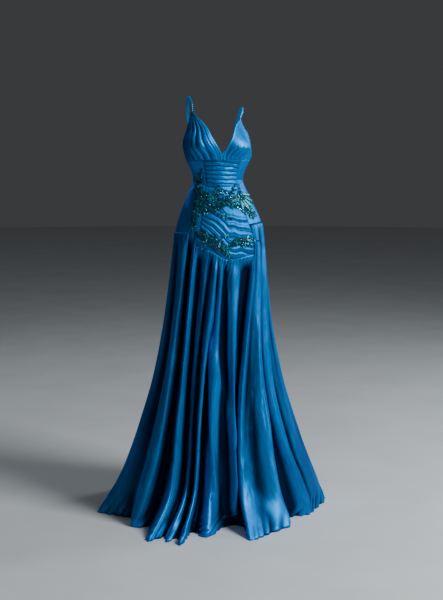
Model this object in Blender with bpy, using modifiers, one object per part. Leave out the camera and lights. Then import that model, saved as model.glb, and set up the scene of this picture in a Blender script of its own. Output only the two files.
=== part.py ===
"""Floor-length satin evening gown, filled out as when worn, with nobody in it.

Row frame: the origin lies midway between the tops of the two shoulder straps, +Z is up, the front
faces -Y and the wearer's left is +X. Metres throughout. Plan angles are in degrees, 0 at the centre
front, growing towards the wearer's left, 180 at the centre back.

Every cloth piece is an open grid laid on the gown's form and given a wall by Solidify, whose
thickness grows outwards. The form is a table of plan sections; the skirt adds a table of fold lines.
"""

import math

import bmesh
import bpy
import numpy as np

# --- driving dimensions, metres and degrees -----------------------------------------------------

GOWN_LENGTH = 1.60  # strap tops down to the hem
CLOTH = 0.0016  # wall of the doubled satin
TRIM = 0.0012  # wall of bindings and appliques
SEAM = 0.0005  # gap between neighbouring pieces
YOKE_SEAM = 0.0012  # the same where the gathered skirt meets the yoke's curved edge
LIFT = 0.0006  # gap between a trim and the cloth under it

HEM_Z = CLOTH - GOWN_LENGTH
HIP_Z, KNEE_Z, SHIN_Z = -0.55, -1.10, -1.42
UNDERBUST_Z, WAIST_SEAM_Z = -0.220, -0.318
PRINCESS = 42.0  # plan angle of the seam between front and side pieces
SIDE = 88.0  # plan angle of the side seam
STRAP_WIDTH = 0.009
STRAP_LIFT = 0.0009  # gap along the body between a strap's end and the edge it is sewn to
STRAP_TWIST = 0.25  # share of the strap in which it turns from the form's slope to level
BINDING_WIDTH = 0.005
SHOULDER_SLOPE = 0.185  # the wearer's right shoulder is held higher, metres per metre

# The form: z, half width, depth to the front, depth to the back, squareness, sideways shift.
FORM = np.array(
    [
        (0.000, 0.104, 0.066, 0.080, 2.00, 0.000),
        (-0.060, 0.108, 0.089, 0.092, 2.05, -0.005),
        (-0.110, 0.123, 0.099, 0.100, 2.10, 0.002),
        (-0.165, 0.131, 0.103, 0.102, 2.10, 0.005),
        (-0.220, 0.123, 0.096, 0.088, 2.10, 0.010),
        (-0.260, 0.103, 0.087, 0.076, 2.10, 0.010),
        (-0.295, 0.095, 0.082, 0.071, 2.10, 0.010),
        (-0.340, 0.112, 0.090, 0.088, 2.10, 0.010),
        (-0.400, 0.139, 0.105, 0.118, 2.20, 0.013),
        (-0.460, 0.161, 0.121, 0.143, 2.30, 0.016),
        (-0.530, 0.174, 0.135, 0.154, 2.35, 0.016),
        (-0.620, 0.181, 0.146, 0.160, 2.35, 0.014),
        (-0.725, 0.190, 0.158, 0.168, 2.30, 0.012),
        (-0.850, 0.205, 0.173, 0.182, 2.30, 0.010),
        (-0.980, 0.228, 0.190, 0.202, 2.30, 0.010),
        (-1.110, 0.258, 0.207, 0.228, 2.30, 0.010),
        (-1.240, 0.298, 0.225, 0.260, 2.25, 0.010),
        (-1.370, 0.343, 0.243, 0.296, 2.20, 0.010),
        (-1.500, 0.396, 0.290, 0.350, 2.15, 0.010),
        (-1.600, 0.436, 0.390, 0.410, 2.10, 0.010),
    ]
)

# One bust cup's swell over the form.
CUP_SWELL = {"reach": 0.031, "angle": 35.0, "z": -0.168, "spread": 25.0, "above": 0.058, "below": 0.032}

# Cup edges from the underbust seam up to the strap: share of the way, plan angle, z.
CUP_INNER = (
    (0.00, 1.2, UNDERBUST_Z),
    (0.14, 2.4, -0.200),
    (0.46, 16.5, -0.143),
    (0.74, 33.0, -0.090),
    (1.00, 62.0, -0.052),
)
CUP_OUTER = ((0.00, SIDE, UNDERBUST_Z), (0.30, SIDE, -0.170), (0.66, 75.0, -0.112), (1.00, 68.5, -0.052))

# Top edge of a back panel from the side seam to the centre back: plan angle, z.
BACK_TOP = (
    (88.0, -0.170),
    (104.0, -0.176),
    (122.0, -0.166),
    (137.0, -0.150),
    (152.0, -0.182),
    (180.0, -0.228),
)
BACK_STRAP = 137.0

# Lower edge of the ruched yoke: plan angle, z.
YOKE_HEM = ((-42.0, -0.540), (-20.0, -0.562), (5.0, -0.590), (26.0, -0.582), (42.0, -0.574))

# One shoulder strap, from the cup's top to the back panel: half spread, y, z.
STRAP_PATH = (
    (0.0985, -0.029, -0.020),
    (0.1035, -0.002, -0.001),
    (0.1010, 0.048, -0.028),
    (0.0920, 0.077, -0.088),
)

# Fold lines of the skirt in their order round the hem: name, plan angle at the hip, knee and hem,
# then how far the line stands out of the form (or, below nothing, in from it) at the knee and hem.
FOLD_LINES = (
    ("back_right_valley", -172.0, -170.0, -169.0, -0.020, -0.040),
    ("back_right_crest", -160.0, -159.0, -160.0, 0.016, 0.030),
    ("back_right_valley_2", -158.0, -157.0, -155.0, -0.022, -0.045),
    ("back_right_crest_2", -142.0, -142.0, -141.0, 0.014, 0.034),
    ("back_right_valley_3", -140.0, -139.0, -136.0, -0.018, -0.030),
    ("back_right_crest_3", -124.0, -122.0, -120.0, 0.014, 0.030),
    ("side_right_valley", -117.0, -114.0, -110.0, -0.014, -0.030),
    ("side_right_crest", -92.0, -94.0, -93.0, 0.010, 0.046),
    ("side_right_valley_2", -84.0, -79.0, -74.0, -0.008, -0.062),
    ("right_fold_1", -58.0, -57.0, -61.0, 0.014, -0.012),
    ("right_valley_1", -57.0, -56.5, -57.5, -0.026, -0.052),
    ("right_edge", -44.6, -43.8, -42.0, 0.022, 0.080),
    ("right_edge_under", -43.2, -42.6, -38.5, -0.026, 0.006),
    ("right_small_fold", -28.0, -35.5, -35.0, -0.004, 0.060),
    ("right_small_valley", -24.0, -34.0, -32.0, -0.018, 0.008),
    ("centre_fold_1", -13.0, -26.5, -27.5, 0.020, 0.088),
    ("centre_valley_1", -11.0, -25.5, -26.5, -0.026, -0.072),
    ("centre_fold_2", -7.0, -16.5, -18.0, 0.008, -0.012),
    ("centre_valley_2", 0.0, -3.0, -3.0, -0.024, -0.140),
    ("centre_fold_3", 9.0, 5.5, 4.5, 0.010, -0.150),
    ("centre_valley_3", 43.2, 12.0, 8.5, -0.032, -0.120),
    ("left_edge", 44.6, 12.5, 5.5, 0.014, 0.040),
    ("left_panel", 49.0, 24.0, 21.0, 0.004, -0.012),
    ("left_fold_1", 54.0, 36.5, 37.5, 0.012, -0.042),
    ("left_valley_1", 57.0, 43.0, 50.0, -0.030, -0.112),
    ("left_fold_2", 68.0, 52.0, 62.0, 0.004, -0.060),
    ("left_valley_2", 78.0, 66.0, 74.0, -0.008, -0.044),
    ("side_left_crest", 90.0, 88.0, 93.0, 0.010, 0.010),
    ("side_left_valley", 104.0, 103.0, 106.0, -0.014, -0.030),
    ("back_left_crest_3", 118.0, 119.0, 120.0, 0.014, 0.028),
    ("back_left_valley_3", 124.0, 126.0, 128.0, -0.020, -0.034),
    ("back_left_crest_2", 140.0, 140.0, 139.0, 0.014, 0.030),
    ("back_left_valley_2", 146.0, 147.0, 148.0, -0.020, -0.046),
    ("back_left_crest", 162.0, 160.0, 161.0, 0.016, 0.034),
    ("back_left_valley", 168.0, 168.0, 169.0, -0.018, -0.030),
    ("back_crest", 178.0, 179.0, 179.0, 0.012, 0.036),
)

# How much of a fold's knee depth it has at each height.
FOLD_GROWTH = ((-1.42, 1.15), (-1.10, 1.00), (-0.80, 0.80), (-0.62, 0.50), (-0.52, 0.22), (-0.45, 0.10))

# Heights of the skirt's mesh rows. Every panel has them, so that seams match. The side and back
# panels also have a row level with each of the yoke's corners.
SKIRT_ROWS = (HEM_Z, -1.575, -1.530, -1.450, -1.330, -1.180, -1.020, -0.860, -0.720, -0.610)
PANEL_PAST_CREST = 0.12  # a front seam's distance behind its crest, in fold lines
COLUMNS_PER_LINE = 2  # mesh columns from one fold line to the next
LEAST_COLUMN = 0.05  # the nearest that a column comes to a seam, in fold lines
AXIS_X = 0.015  # the torso's axis at the hip
HEM_FLARE = 1.8  # how late the hem's own folds set in below the shin: 1 is evenly

# Appliques: plan angle, z of the middle, half height.
APPLIQUE_UPPER = (
    (-62.0, -0.372, 0.012),
    (-54.0, -0.374, 0.036),
    (-38.0, -0.378, 0.044),
    (-22.0, -0.384, 0.034),
    (-6.0, -0.380, 0.022),
    (10.0, -0.374, 0.018),
    (26.0, -0.374, 0.024),
    (42.0, -0.384, 0.038),
    (52.0, -0.400, 0.040),
    (58.0, -0.424, 0.014),
)
APPLIQUE_SIDE = ((-58.0, -0.446, 0.008), (-52.0, -0.446, 0.022), (-46.5, -0.450, 0.018))
APPLIQUE_LOWER = (
    (-41.5, -0.486, 0.010),
    (-34.0, -0.500, 0.018),
    (-24.0, -0.520, 0.024),
    (-13.0, -0.538, 0.022),
    (-2.0, -0.556, 0.020),
    (4.0, -0.570, 0.010),
)
APPLIQUE_LOWER_LEFT = (
    (7.0, -0.538, 0.012),
    (16.0, -0.526, 0.016),
    (26.0, -0.522, 0.013),
    (40.0, -0.520, 0.008),
)

# Pleats and ruching: count across the piece, height of a ridge, and how many ridges it climbs.
# A cup's pleats lie between two shares of its width and fade below its top.
CUP_PLEATS = {"count": 7, "height": 0.0024, "first": 0.08, "last": 0.80, "fade": 0.12, "top": 0.85}
MIDRIFF_PLEATS = {"count": 6, "height": 0.0024, "fall": 0.35}
YOKE_RUCHES = {"count": 10, "height": 0.0030, "fall": 2.2}
PLEAT_CLEAR = 0.0034  # the tallest ridge, with a little room
PLEAT_RISE = 0.7  # share of a pleat that is its slow rise

YOKE_TUCK = 1.4  # how many degrees wider the yoke is where it meets the side skirts' front edges
YOKE_TUCK_OVER = (0.008, 0.024)  # how far below the hip seam it starts and ends to widen
HIP_SEAM_Z = -0.475
HIP_SEAM_TILT = 0.018  # how much higher the hip seam is on the wearer's left side

# Zip slider and pull tab at the centre back.
SLIDER = {"width": 0.0062, "thick": 0.0018, "height": 0.0095, "z": -0.2370}
SINK = 0.0003  # how far one piece of metal runs into the next before they are joined
PIN_RADIUS = 0.0006
PIN_OUT = 0.0024  # pin's centre above the slider's plate
PIN_UP = 0.2  # pin's height above the slider's middle, as a share of its height
EYE = {"outer": 0.0018, "inner": 0.0010, "width": 0.0026}
TAB = {"width": 0.0042, "thick": 0.0010, "length": 0.0190, "neck": 0.0030, "taper": 0.6}
EAR = {"thick": 0.0010, "gap": 0.0034, "height": 0.0026, "past_pin": 0.0006}

# --- colours ------------------------------------------------------------------------------------

SATIN = (0.010, 0.150, 0.420)
BOUND = (0.020, 0.220, 0.520)
BEADED = (0.020, 0.110, 0.120)
METAL = (0.300, 0.340, 0.380)


# --- the form -----------------------------------------------------------------------------------


def spline(table, at, level=True):
    """Smooth curve through a table whose first column is the key; one value row for each `at`.

    With `level` it runs level through every row where it turns, so it never overshoots one.
    """
    rows = np.array(sorted(table, key=lambda row: row[0]), float)
    key, value = rows[:, 0], rows[:, 1:]
    step = np.diff(key)[:, None]
    slope = np.diff(value, axis=0) / step
    tangent = np.empty_like(value)
    tangent[0], tangent[-1] = slope[0], slope[-1]
    tangent[1:-1] = (slope[:-1] * step[1:] + slope[1:] * step[:-1]) / (step[1:] + step[:-1])
    if level:
        tangent[1:-1][slope[:-1] * slope[1:] <= 0] = 0.0
    at = np.clip(np.asarray(at, float), key[0], key[-1])
    i = np.clip(np.searchsorted(key, at, side="right") - 1, 0, len(key) - 2)
    t = ((at - key[i]) / (key[i + 1] - key[i]))[..., None]
    h = (key[i + 1] - key[i])[..., None]
    return (
        value[i] * (1 + 2 * t) * (1 - t) ** 2
        + tangent[i] * h * t * (1 - t) ** 2
        + value[i + 1] * t**2 * (3 - 2 * t)
        + tangent[i + 1] * h * t**2 * (t - 1)
    )


def form_radius(angle, z):
    """Distance from the form's axis to its surface, in the direction of a plan angle in degrees."""
    half, front, back, power, _ = np.moveaxis(spline(FORM, z), -1, 0)
    a = np.radians(angle)
    depth = np.where(np.cos(a) > 0, front, back)
    return ((np.abs(np.sin(a)) / half) ** power + (np.abs(np.cos(a)) / depth) ** power) ** (-1 / power)


def cup_swell(angle, z):
    s = CUP_SWELL
    up = np.where(z > s["z"], (z - s["z"]) / s["above"], (z - s["z"]) / s["below"])
    across = (np.abs(angle) - s["angle"]) / s["spread"]
    return s["reach"] * np.exp(-(across**2) - up**2)


def place(angle, z, radius):
    """A point in the row frame from its plan angle, height and radius, with the figure's lean."""
    a = np.radians(angle)
    shift = spline(FORM, z)[..., -1]
    x = radius * np.sin(a)
    lean = np.clip((z - UNDERBUST_Z) / -UNDERBUST_Z, 0, 1) * SHOULDER_SLOPE
    return np.stack([x + shift, -radius * np.cos(a), z - lean * x], axis=-1)


def on_form(angle, z, out=0.0):
    """Points on the form, moved out of it along its normal."""
    angle, z = np.broadcast_arrays(np.asarray(angle, float), np.asarray(z, float))
    small = 0.01

    def bare(a, h):
        return place(a, h, form_radius(a, h) + cup_swell(a, h))

    across = bare(angle + small * 20, z) - bare(angle - small * 20, z)
    up = bare(angle, z + small * 0.05) - bare(angle, z - small * 0.05)
    normal = np.cross(across, up)
    normal /= np.linalg.norm(normal, axis=-1, keepdims=True)
    return bare(angle, z) + normal * np.asarray(out, float)[..., None]


# --- the skirt's rings --------------------------------------------------------------------------


def fold_points(z):
    """Plan position of every fold line at the heights z: an array of heights x lines x 2."""
    angles = np.array([row[1:4] for row in FOLD_LINES])
    knee, hem = (np.array([row[k] for row in FOLD_LINES]) for k in (4, 5))
    keys = np.array([HIP_Z, KNEE_Z, HEM_Z])
    angle = spline(np.column_stack([keys, angles.T]), z)
    grown = knee * spline(FOLD_GROWTH, z)
    spread = np.clip((SHIN_Z - z) / (SHIN_Z - HEM_Z), 0, 1)[..., None] ** HEM_FLARE
    out = grown + (hem - grown) * spread
    radius = form_radius(angle, np.broadcast_to(z[..., None], angle.shape)) + out
    a = np.radians(angle)
    return np.stack([radius * np.sin(a), -radius * np.cos(a)], axis=-1)


def skirt_points(line, z):
    """Points of the skirt's surface at `line`, a place between fold lines by number, and heights z."""
    z = np.asarray(z, float)
    points = fold_points(z)
    count = len(FOLD_LINES)
    i = math.floor(line)
    t = line - i
    near = [points[:, (i + k) % count] for k in (-1, 0, 1, 2)]
    before, here, after, beyond = near
    chords = [np.linalg.norm(q - p, axis=1, keepdims=True) for p, q in zip(near, near[1:])]

    def tangent(p, q, r, first, second):
        return ((q - p) / first * second + (r - q) / second * first) / (first + second)

    start = tangent(before, here, after, chords[0], chords[1]) * chords[1]
    end = tangent(here, after, beyond, chords[1], chords[2]) * chords[1]
    plan = (
        here * (1 + 2 * t) * (1 - t) ** 2
        + start * t * (1 - t) ** 2
        + after * t**2 * (3 - 2 * t)
        + end * t**2 * (t - 1)
    )
    shift = spline(FORM, z)[..., -1]
    return np.column_stack([plan[:, 0] + shift, plan[:, 1], z])


def line_number(name):
    return [row[0] for row in FOLD_LINES].index(name)


def hip_seam_z(angle):
    """Height of the seam that joins the side and back skirt to the body."""
    return HIP_SEAM_Z + HIP_SEAM_TILT * math.sin(math.radians(angle))


# --- building blocks ----------------------------------------------------------------------------


def clear_scene():
    for obj in list(bpy.data.objects):
        bpy.data.objects.remove(obj)


def material(name, colour, roughness, metallic=0.0):
    made = bpy.data.materials.new(name)
    made.use_nodes = True
    surface = made.node_tree.nodes["Principled BSDF"]
    surface.inputs["Base Color"].default_value = (*colour, 1.0)
    surface.inputs["Roughness"].default_value = roughness
    surface.inputs["Metallic"].default_value = metallic
    made.diffuse_color = (*colour, 1.0)
    return made


def finish(obj, collection, colour, roughness=0.35, metallic=0.0):
    obj.data.materials.append(material(obj.name, colour, roughness, metallic))
    collection.objects.link(obj)
    return obj


def cloth(name, points, collection, colour=SATIN, wall=CLOTH):
    """A wall from a grid of points: first axis round the gown, second axis upwards."""
    columns, rows = points.shape[0] - 1, points.shape[1] - 1
    bm = bmesh.new()
    bmesh.ops.create_grid(bm, x_segments=columns, y_segments=rows, size=1.0)
    for vert in bm.verts:
        i = round((vert.co.x + 1) / 2 * columns)
        j = round((vert.co.y + 1) / 2 * rows)
        vert.co = points[i, j]
    mesh = bpy.data.meshes.new(name)
    bm.to_mesh(mesh)
    bm.free()
    mesh.shade_smooth()
    obj = bpy.data.objects.new(name, mesh)
    solid = obj.modifiers.new("wall", "SOLIDIFY")
    solid.thickness = wall
    solid.offset = 1.0
    return finish(obj, collection, colour)


def between(start, end, shares):
    return start + (end - start) * np.asarray(shares, float)


def seam_angle(z, angle):
    """Half a seam's gap as a plan angle."""
    return math.degrees(SEAM / 2 / float(form_radius(angle, np.array(z))))


def pleat(phase):
    """One ridge for each unit of phase: a slow rise and a quick fall, from 0 to 1."""
    t = np.mod(phase, 1.0)
    return np.where(t < PLEAT_RISE, t / PLEAT_RISE, (1 - t) / (1 - PLEAT_RISE))


# --- cloth pieces above the hip -----------------------------------------------------------------


def cup(name, side, pleats, collection):
    """One bust cup, widest at the underbust seam and as narrow as the strap at the top."""
    shares_across = np.linspace(0, 1, 15)
    shares_up = np.linspace(0, 1, 10)
    inner, outer = spline(CUP_INNER, shares_up), spline(CUP_OUTER, shares_up)
    across = shares_across[:, None, None]
    edge = inner[None] + (outer - inner)[None] * across
    angle, z = edge[..., 0], edge[..., 1] + SEAM / 2 * (1 - shares_up)[None]
    angle = angle - seam_angle(UNDERBUST_Z, SIDE) * shares_across[:, None] * 2
    room = np.minimum(shares_across - CUP_PLEATS["first"], CUP_PLEATS["last"] - shares_across)
    fade = np.clip(room / CUP_PLEATS["fade"], 0, 1)[:, None]
    rise = np.clip((CUP_PLEATS["top"] - shares_up) / (3 * CUP_PLEATS["fade"]), 0, 1)
    ridges = pleat(shares_across * CUP_PLEATS["count"])[:, None] * fade * rise
    points = on_form(side * angle, z, CUP_PLEATS["height"] * ridges * pleats)
    return cloth(name, points if side > 0 else points[::-1], collection)


def neck_binding(name, side, collection):
    """The bound edge of a cup, on the cup's surface and moved out of it."""
    shares_up = np.linspace(0.05, 0.985, 14)
    inner, outer = spline(CUP_INNER, shares_up), spline(CUP_OUTER, shares_up)
    width = np.linalg.norm(on_form(outer[:, 0], outer[:, 1]) - on_form(inner[:, 0], inner[:, 1]), axis=1)
    share = np.clip(BINDING_WIDTH / width, 0, 0.5)
    edges = np.stack([inner, inner + (outer - inner) * share[:, None]])
    points = on_form(side * edges[..., 0], edges[..., 1], np.full(edges.shape[:2], CLOTH + LIFT))
    return cloth(name, points if side > 0 else points[::-1], collection, BOUND, TRIM)


def strap(name, side, collection):
    """A flat strap from the cup's top edge over the shoulder to the back panel's top edge."""
    low_angle, high_angle, cup_z = CUP_INNER[-1][1], CUP_OUTER[-1][1], CUP_INNER[-1][2]
    back_z = float(spline(BACK_TOP, np.array(BACK_STRAP))[0])
    start = on_form(side * (low_angle + high_angle) / 2, cup_z + STRAP_LIFT)
    end = on_form(side * BACK_STRAP, back_z + STRAP_LIFT)
    middle = [(side * x, y, z - SHOULDER_SLOPE * side * x) for x, y, z in STRAP_PATH]
    knots = np.array([start, *middle, end])
    shares = np.linspace(0, 1, 19)
    reached = np.cumsum([0.0, *np.linalg.norm(np.diff(knots, axis=0), axis=1)])
    path = spline(np.column_stack([reached / reached[-1], knots]), shares, level=False)
    along = np.gradient(path, axis=0)
    along /= np.linalg.norm(along, axis=1, keepdims=True)
    outwards = [
        (0.0, *tangent_round(side * (low_angle + high_angle) / 2, cup_z)),
        (0.5, 1.0, 0.0, -SHOULDER_SLOPE),
        (1.0, *-tangent_round(side * BACK_STRAP, back_z)),
    ]
    sideways = spline(outwards, shares)
    square = np.clip(np.minimum(shares, 1 - shares) / STRAP_TWIST, 0, 1)[:, None]
    sideways -= square * along * (sideways * along).sum(axis=1, keepdims=True)
    sideways /= np.linalg.norm(sideways, axis=1, keepdims=True)
    edges = np.stack([path - sideways * STRAP_WIDTH / 2, path + sideways * STRAP_WIDTH / 2])
    return cloth(name, edges, collection, BOUND, TRIM)


def tangent_round(angle, z):
    """Unit direction of growing plan angle along the form."""
    step = on_form(angle + 1.0, z) - on_form(angle - 1.0, z)
    return step / np.linalg.norm(step)


def midriff_front(collection):
    """Level pleats from the underbust seam to the waist seam, sloping a little to the wearer's left."""
    columns, rows = 12, MIDRIFF_PLEATS["count"] * 2 + 1
    shares = np.linspace(0, 1, rows)[None]
    edge = PRINCESS - seam_angle(WAIST_SEAM_Z, PRINCESS)
    angle = np.linspace(-edge, edge, columns + 1)[:, None] + 0 * shares
    z = between(WAIST_SEAM_Z + SEAM / 2, UNDERBUST_Z - SEAM / 2, shares) + 0 * angle
    slope = MIDRIFF_PLEATS["fall"] * (1 - (angle / edge) ** 2)
    ridges = pleat(shares * MIDRIFF_PLEATS["count"] + slope) * np.sin(math.pi * shares) ** 0.5
    return cloth("midriff_front", on_form(angle, z, MIDRIFF_PLEATS["height"] * ridges), collection)


def hip_yoke_front(collection):
    """Ruched yoke from the waist seam to the V-shaped lower edge."""
    columns, rows = 12, 20
    shares = np.linspace(0, 1, rows + 1)[None]
    edge = PRINCESS - seam_angle(HIP_Z, PRINCESS)
    angle = np.linspace(-edge, edge, columns + 1)[:, None] + 0 * shares
    low = spline(YOKE_HEM, angle[:, 0])[:, 0][:, None] + SEAM / 2
    z = between(low, WAIST_SEAM_Z - SEAM / 2, shares)
    phase = shares * YOKE_RUCHES["count"] + YOKE_RUCHES["fall"] * angle / edge
    for column, side in ((0, -1), (-1, 1)):
        below = hip_seam_z(side * edge) - z[column]
        angle[column] += side * YOKE_TUCK * np.interp(below, YOKE_TUCK_OVER, (0.0, 1.0))
    ridges = pleat(phase) * np.clip(np.sin(math.pi * shares), 0, 1) ** 0.4
    return cloth("hip_yoke_front", on_form(angle, z, YOKE_RUCHES["height"] * ridges), collection)


def side_panel(name, side, collection):
    """Plain panel from the princess seam to the side seam, underbust to hip seam."""
    edge = PRINCESS + seam_angle(WAIST_SEAM_Z, PRINCESS)
    angle = np.linspace(edge, SIDE - seam_angle(WAIST_SEAM_Z, SIDE), 6)[:, None]
    low = np.array([hip_seam_z(side * a) for a in angle[:, 0]])[:, None] + SEAM / 2
    z = between(low, UNDERBUST_Z - SEAM / 2, np.linspace(0, 1, 11)[None])
    points = on_form(side * (angle + 0 * z), z)
    return cloth(name, points if side > 0 else points[::-1], collection)


def back_panel(name, side, collection):
    """Plain panel from the side seam to the centre back, with the low scooped back edge."""
    last = 180 - seam_angle(WAIST_SEAM_Z, 180)
    angle = np.linspace(SIDE + seam_angle(WAIST_SEAM_Z, SIDE), last, 11)[:, None]
    low = np.array([hip_seam_z(side * a) for a in angle[:, 0]])[:, None] + SEAM / 2
    top = spline(BACK_TOP, angle[:, 0])[:, 0][:, None]
    z = between(low, top, np.linspace(0, 1, 9)[None])
    points = on_form(side * (angle + 0 * z), z)
    return cloth(name, points if side > 0 else points[::-1], collection)


def applique(name, outline, collection):
    """A beaded lace piece: a wall that follows the form just outside the cloth's ridges."""
    keys = np.linspace(outline[0][0], outline[-1][0], 3 * len(outline))
    middle, half = np.moveaxis(spline(outline, keys), -1, 0)
    shares = np.linspace(-1, 1, 5)[None]
    z = middle[:, None] + half[:, None] * shares
    points = on_form(keys[:, None] + 0 * z, z, np.full(z.shape, CLOTH + PLEAT_CLEAR + LIFT))
    return cloth(name, points, collection, BEADED, TRIM)


# --- the skirt ----------------------------------------------------------------------------------


def skirt_panel(name, start, end, top_z, rows, collection):
    """One skirt panel between two places among the fold lines, from top_z(plan angle) to the hem."""
    first, last = math.ceil(start * COLUMNS_PER_LINE), math.floor(end * COLUMNS_PER_LINE)
    inner = [k / COLUMNS_PER_LINE for k in range(first, last + 1)]
    lines = [start, *[k for k in inner if start + LEAST_COLUMN < k < end - LEAST_COLUMN], end]
    columns = []
    for line in lines:
        x, y, _ = skirt_points(line, np.array([HIP_Z]))[0]
        top = top_z(math.degrees(math.atan2(x - AXIS_X, -y)))
        columns.append(skirt_points(line, np.array([*rows, top])))
    points = np.array(columns)
    trim_seam(points, 0, 1)
    trim_seam(points, -1, -2)
    return cloth(name, points, collection)


def trim_seam(points, edge, inside):
    """Move a panel's edge column half a seam back into the panel."""
    back = points[inside] - points[edge]
    points[edge] += back / np.linalg.norm(back, axis=1, keepdims=True) * SEAM / 2


def yoke_hem_z(angle):
    return float(spline(YOKE_HEM, np.array(np.clip(angle, -PRINCESS, PRINCESS)))[0]) - YOKE_SEAM


def side_top_z(angle):
    return hip_seam_z(angle) - SEAM / 2


# --- the zip's metal ----------------------------------------------------------------------------


def box(name, size, centre):
    bpy.ops.mesh.primitive_cube_add(size=1.0, location=centre)
    obj = bpy.context.active_object
    obj.name = name
    obj.scale = size
    bpy.ops.object.transform_apply(location=False, rotation=False, scale=True)
    return obj


def rod(name, radius, length, centre, sides=16):
    bpy.ops.mesh.primitive_cylinder_add(
        vertices=sides, radius=radius, depth=length, location=centre, rotation=(0, math.pi / 2, 0)
    )
    obj = bpy.context.active_object
    obj.name = name
    bpy.ops.object.transform_apply(location=False, rotation=True, scale=False)
    return obj


def join_or_cut(obj, tool, operation, tools):
    change = obj.modifiers.new(tool.name, "BOOLEAN")
    change.operation = operation
    change.object = tool
    tool.hide_render = True
    tool.display_type = "WIRE"
    move_to(tool, tools)


def move_to(obj, collection):
    for old in list(obj.users_collection):
        old.objects.unlink(obj)
    collection.objects.link(obj)


def zip_metal(collection, tools):
    """The slider at the top of the centre-back seam, and the pull tab hinged on its pin."""
    z = SLIDER["z"]
    x = float(spline(FORM, np.array(z))[-1])
    face = float(form_radius(180.0, np.array(z + SLIDER["height"] / 2))) + CLOTH + LIFT
    plate_top = face + SLIDER["thick"]
    pin = (x, plate_top + PIN_OUT, z + SLIDER["height"] * PIN_UP)

    size = (SLIDER["width"], SLIDER["thick"], SLIDER["height"])
    slider = box("zip_slider", size, (x, face + SLIDER["thick"] / 2, z))
    reach = PIN_OUT + PIN_RADIUS + EAR["past_pin"] + SINK
    for word, sign in (("right", -1), ("left", 1)):
        centre = (x + sign * (EAR["gap"] + EAR["thick"]) / 2, plate_top + reach / 2 - SINK, pin[2])
        ear = box(f"ear_{word}", (EAR["thick"], reach, EAR["height"]), centre)
        join_or_cut(slider, ear, "UNION", tools)
    join_or_cut(slider, rod("pin", PIN_RADIUS, EAR["gap"] + EAR["thick"], pin), "UNION", tools)

    tab = rod("zip_tab", EYE["outer"], EYE["width"], pin)
    plate_end = pin[2] - (EYE["inner"] + EYE["outer"]) / 2
    plate_size = (TAB["width"], TAB["thick"], TAB["length"])
    plate = box("tab_plate", plate_size, (x, pin[1], plate_end - TAB["length"] / 2))
    for vert in plate.data.vertices:
        if vert.co.z > 0:
            vert.co.x *= TAB["taper"]
    neck = box("tab_neck", (EYE["width"], TAB["thick"], TAB["neck"]), (x, pin[1], plate_end - SINK))
    join_or_cut(tab, plate, "UNION", tools)
    join_or_cut(tab, neck, "UNION", tools)
    join_or_cut(tab, rod("eye_bore", EYE["inner"], EYE["width"] * 2, pin), "DIFFERENCE", tools)
    for obj in (slider, tab):
        move_to(obj, collection)
        obj.data.materials.append(material(obj.name, METAL, 0.3, 1.0))


# --- the gown -----------------------------------------------------------------------------------


def main():
    clear_scene()
    gown = bpy.data.collections.new("evening_gown")
    tools = bpy.data.collections.new("cutters")
    for collection in (gown, tools):
        bpy.context.scene.collection.children.link(collection)

    cup("cup_right", -1, 1.0, gown)
    cup("cup_left", 1, 0.25, gown)
    midriff_front(gown)
    hip_yoke_front(gown)
    for word, side in (("right", -1), ("left", 1)):
        neck_binding(f"neck_binding_{word}", side, gown)
        strap(f"strap_{word}", side, gown)
        side_panel(f"side_panel_{word}", side, gown)
        back_panel(f"back_panel_{word}", side, gown)

    count = len(FOLD_LINES)
    right_seam = line_number("right_edge") + PANEL_PAST_CREST
    left_seam = line_number("left_edge") - PANEL_PAST_CREST
    right_side = line_number("side_right_crest") - 0.5
    left_side = line_number("side_left_crest") + 0.5
    side_rows = (*SKIRT_ROWS, yoke_hem_z(PRINCESS), yoke_hem_z(-PRINCESS))
    skirt_panel("skirt_front", right_seam, left_seam, yoke_hem_z, SKIRT_ROWS, gown)
    skirt_panel("skirt_side_right", right_side, right_seam, side_top_z, side_rows, gown)
    skirt_panel("skirt_side_left", left_seam, left_side, side_top_z, side_rows, gown)
    skirt_panel("skirt_back_right", -0.5, right_side, side_top_z, side_rows, gown)
    skirt_panel("skirt_back_left", left_side, count - 0.5, side_top_z, side_rows, gown)

    applique("applique_upper", APPLIQUE_UPPER, gown)
    applique("applique_side", APPLIQUE_SIDE, gown)
    applique("applique_lower", APPLIQUE_LOWER, gown)
    applique("applique_lower_left", APPLIQUE_LOWER_LEFT, gown)
    zip_metal(gown, tools)


main()
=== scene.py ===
"""Looks of a floor-length satin evening gown, filled out as when worn, with nobody in it.

Row frame, metres: the origin lies midway between the strap tops, +Z is up, the front faces -Y and the
wearer's left is +X. Plan angles are in degrees, 0 at the centre front, growing towards the wearer's
left. Every cloth piece is a fine grid laid on the gown's form, creased, and given a wall.
"""

import math

import bpy
import numpy as np
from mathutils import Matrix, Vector


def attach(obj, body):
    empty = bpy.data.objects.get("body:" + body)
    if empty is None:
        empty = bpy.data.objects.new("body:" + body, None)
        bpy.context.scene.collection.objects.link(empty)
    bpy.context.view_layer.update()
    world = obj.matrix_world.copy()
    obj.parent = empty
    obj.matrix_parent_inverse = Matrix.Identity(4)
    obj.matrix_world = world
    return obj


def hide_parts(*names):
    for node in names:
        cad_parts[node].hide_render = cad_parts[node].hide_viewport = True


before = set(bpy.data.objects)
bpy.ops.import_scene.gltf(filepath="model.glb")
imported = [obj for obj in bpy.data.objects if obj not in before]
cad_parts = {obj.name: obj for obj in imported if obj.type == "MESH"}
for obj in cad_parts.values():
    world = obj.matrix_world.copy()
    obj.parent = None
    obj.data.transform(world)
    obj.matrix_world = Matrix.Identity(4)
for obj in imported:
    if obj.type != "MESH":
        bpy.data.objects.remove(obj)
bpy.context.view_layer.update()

# --- sizes of the gown, metres and degrees -------------------------------------------------------

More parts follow.
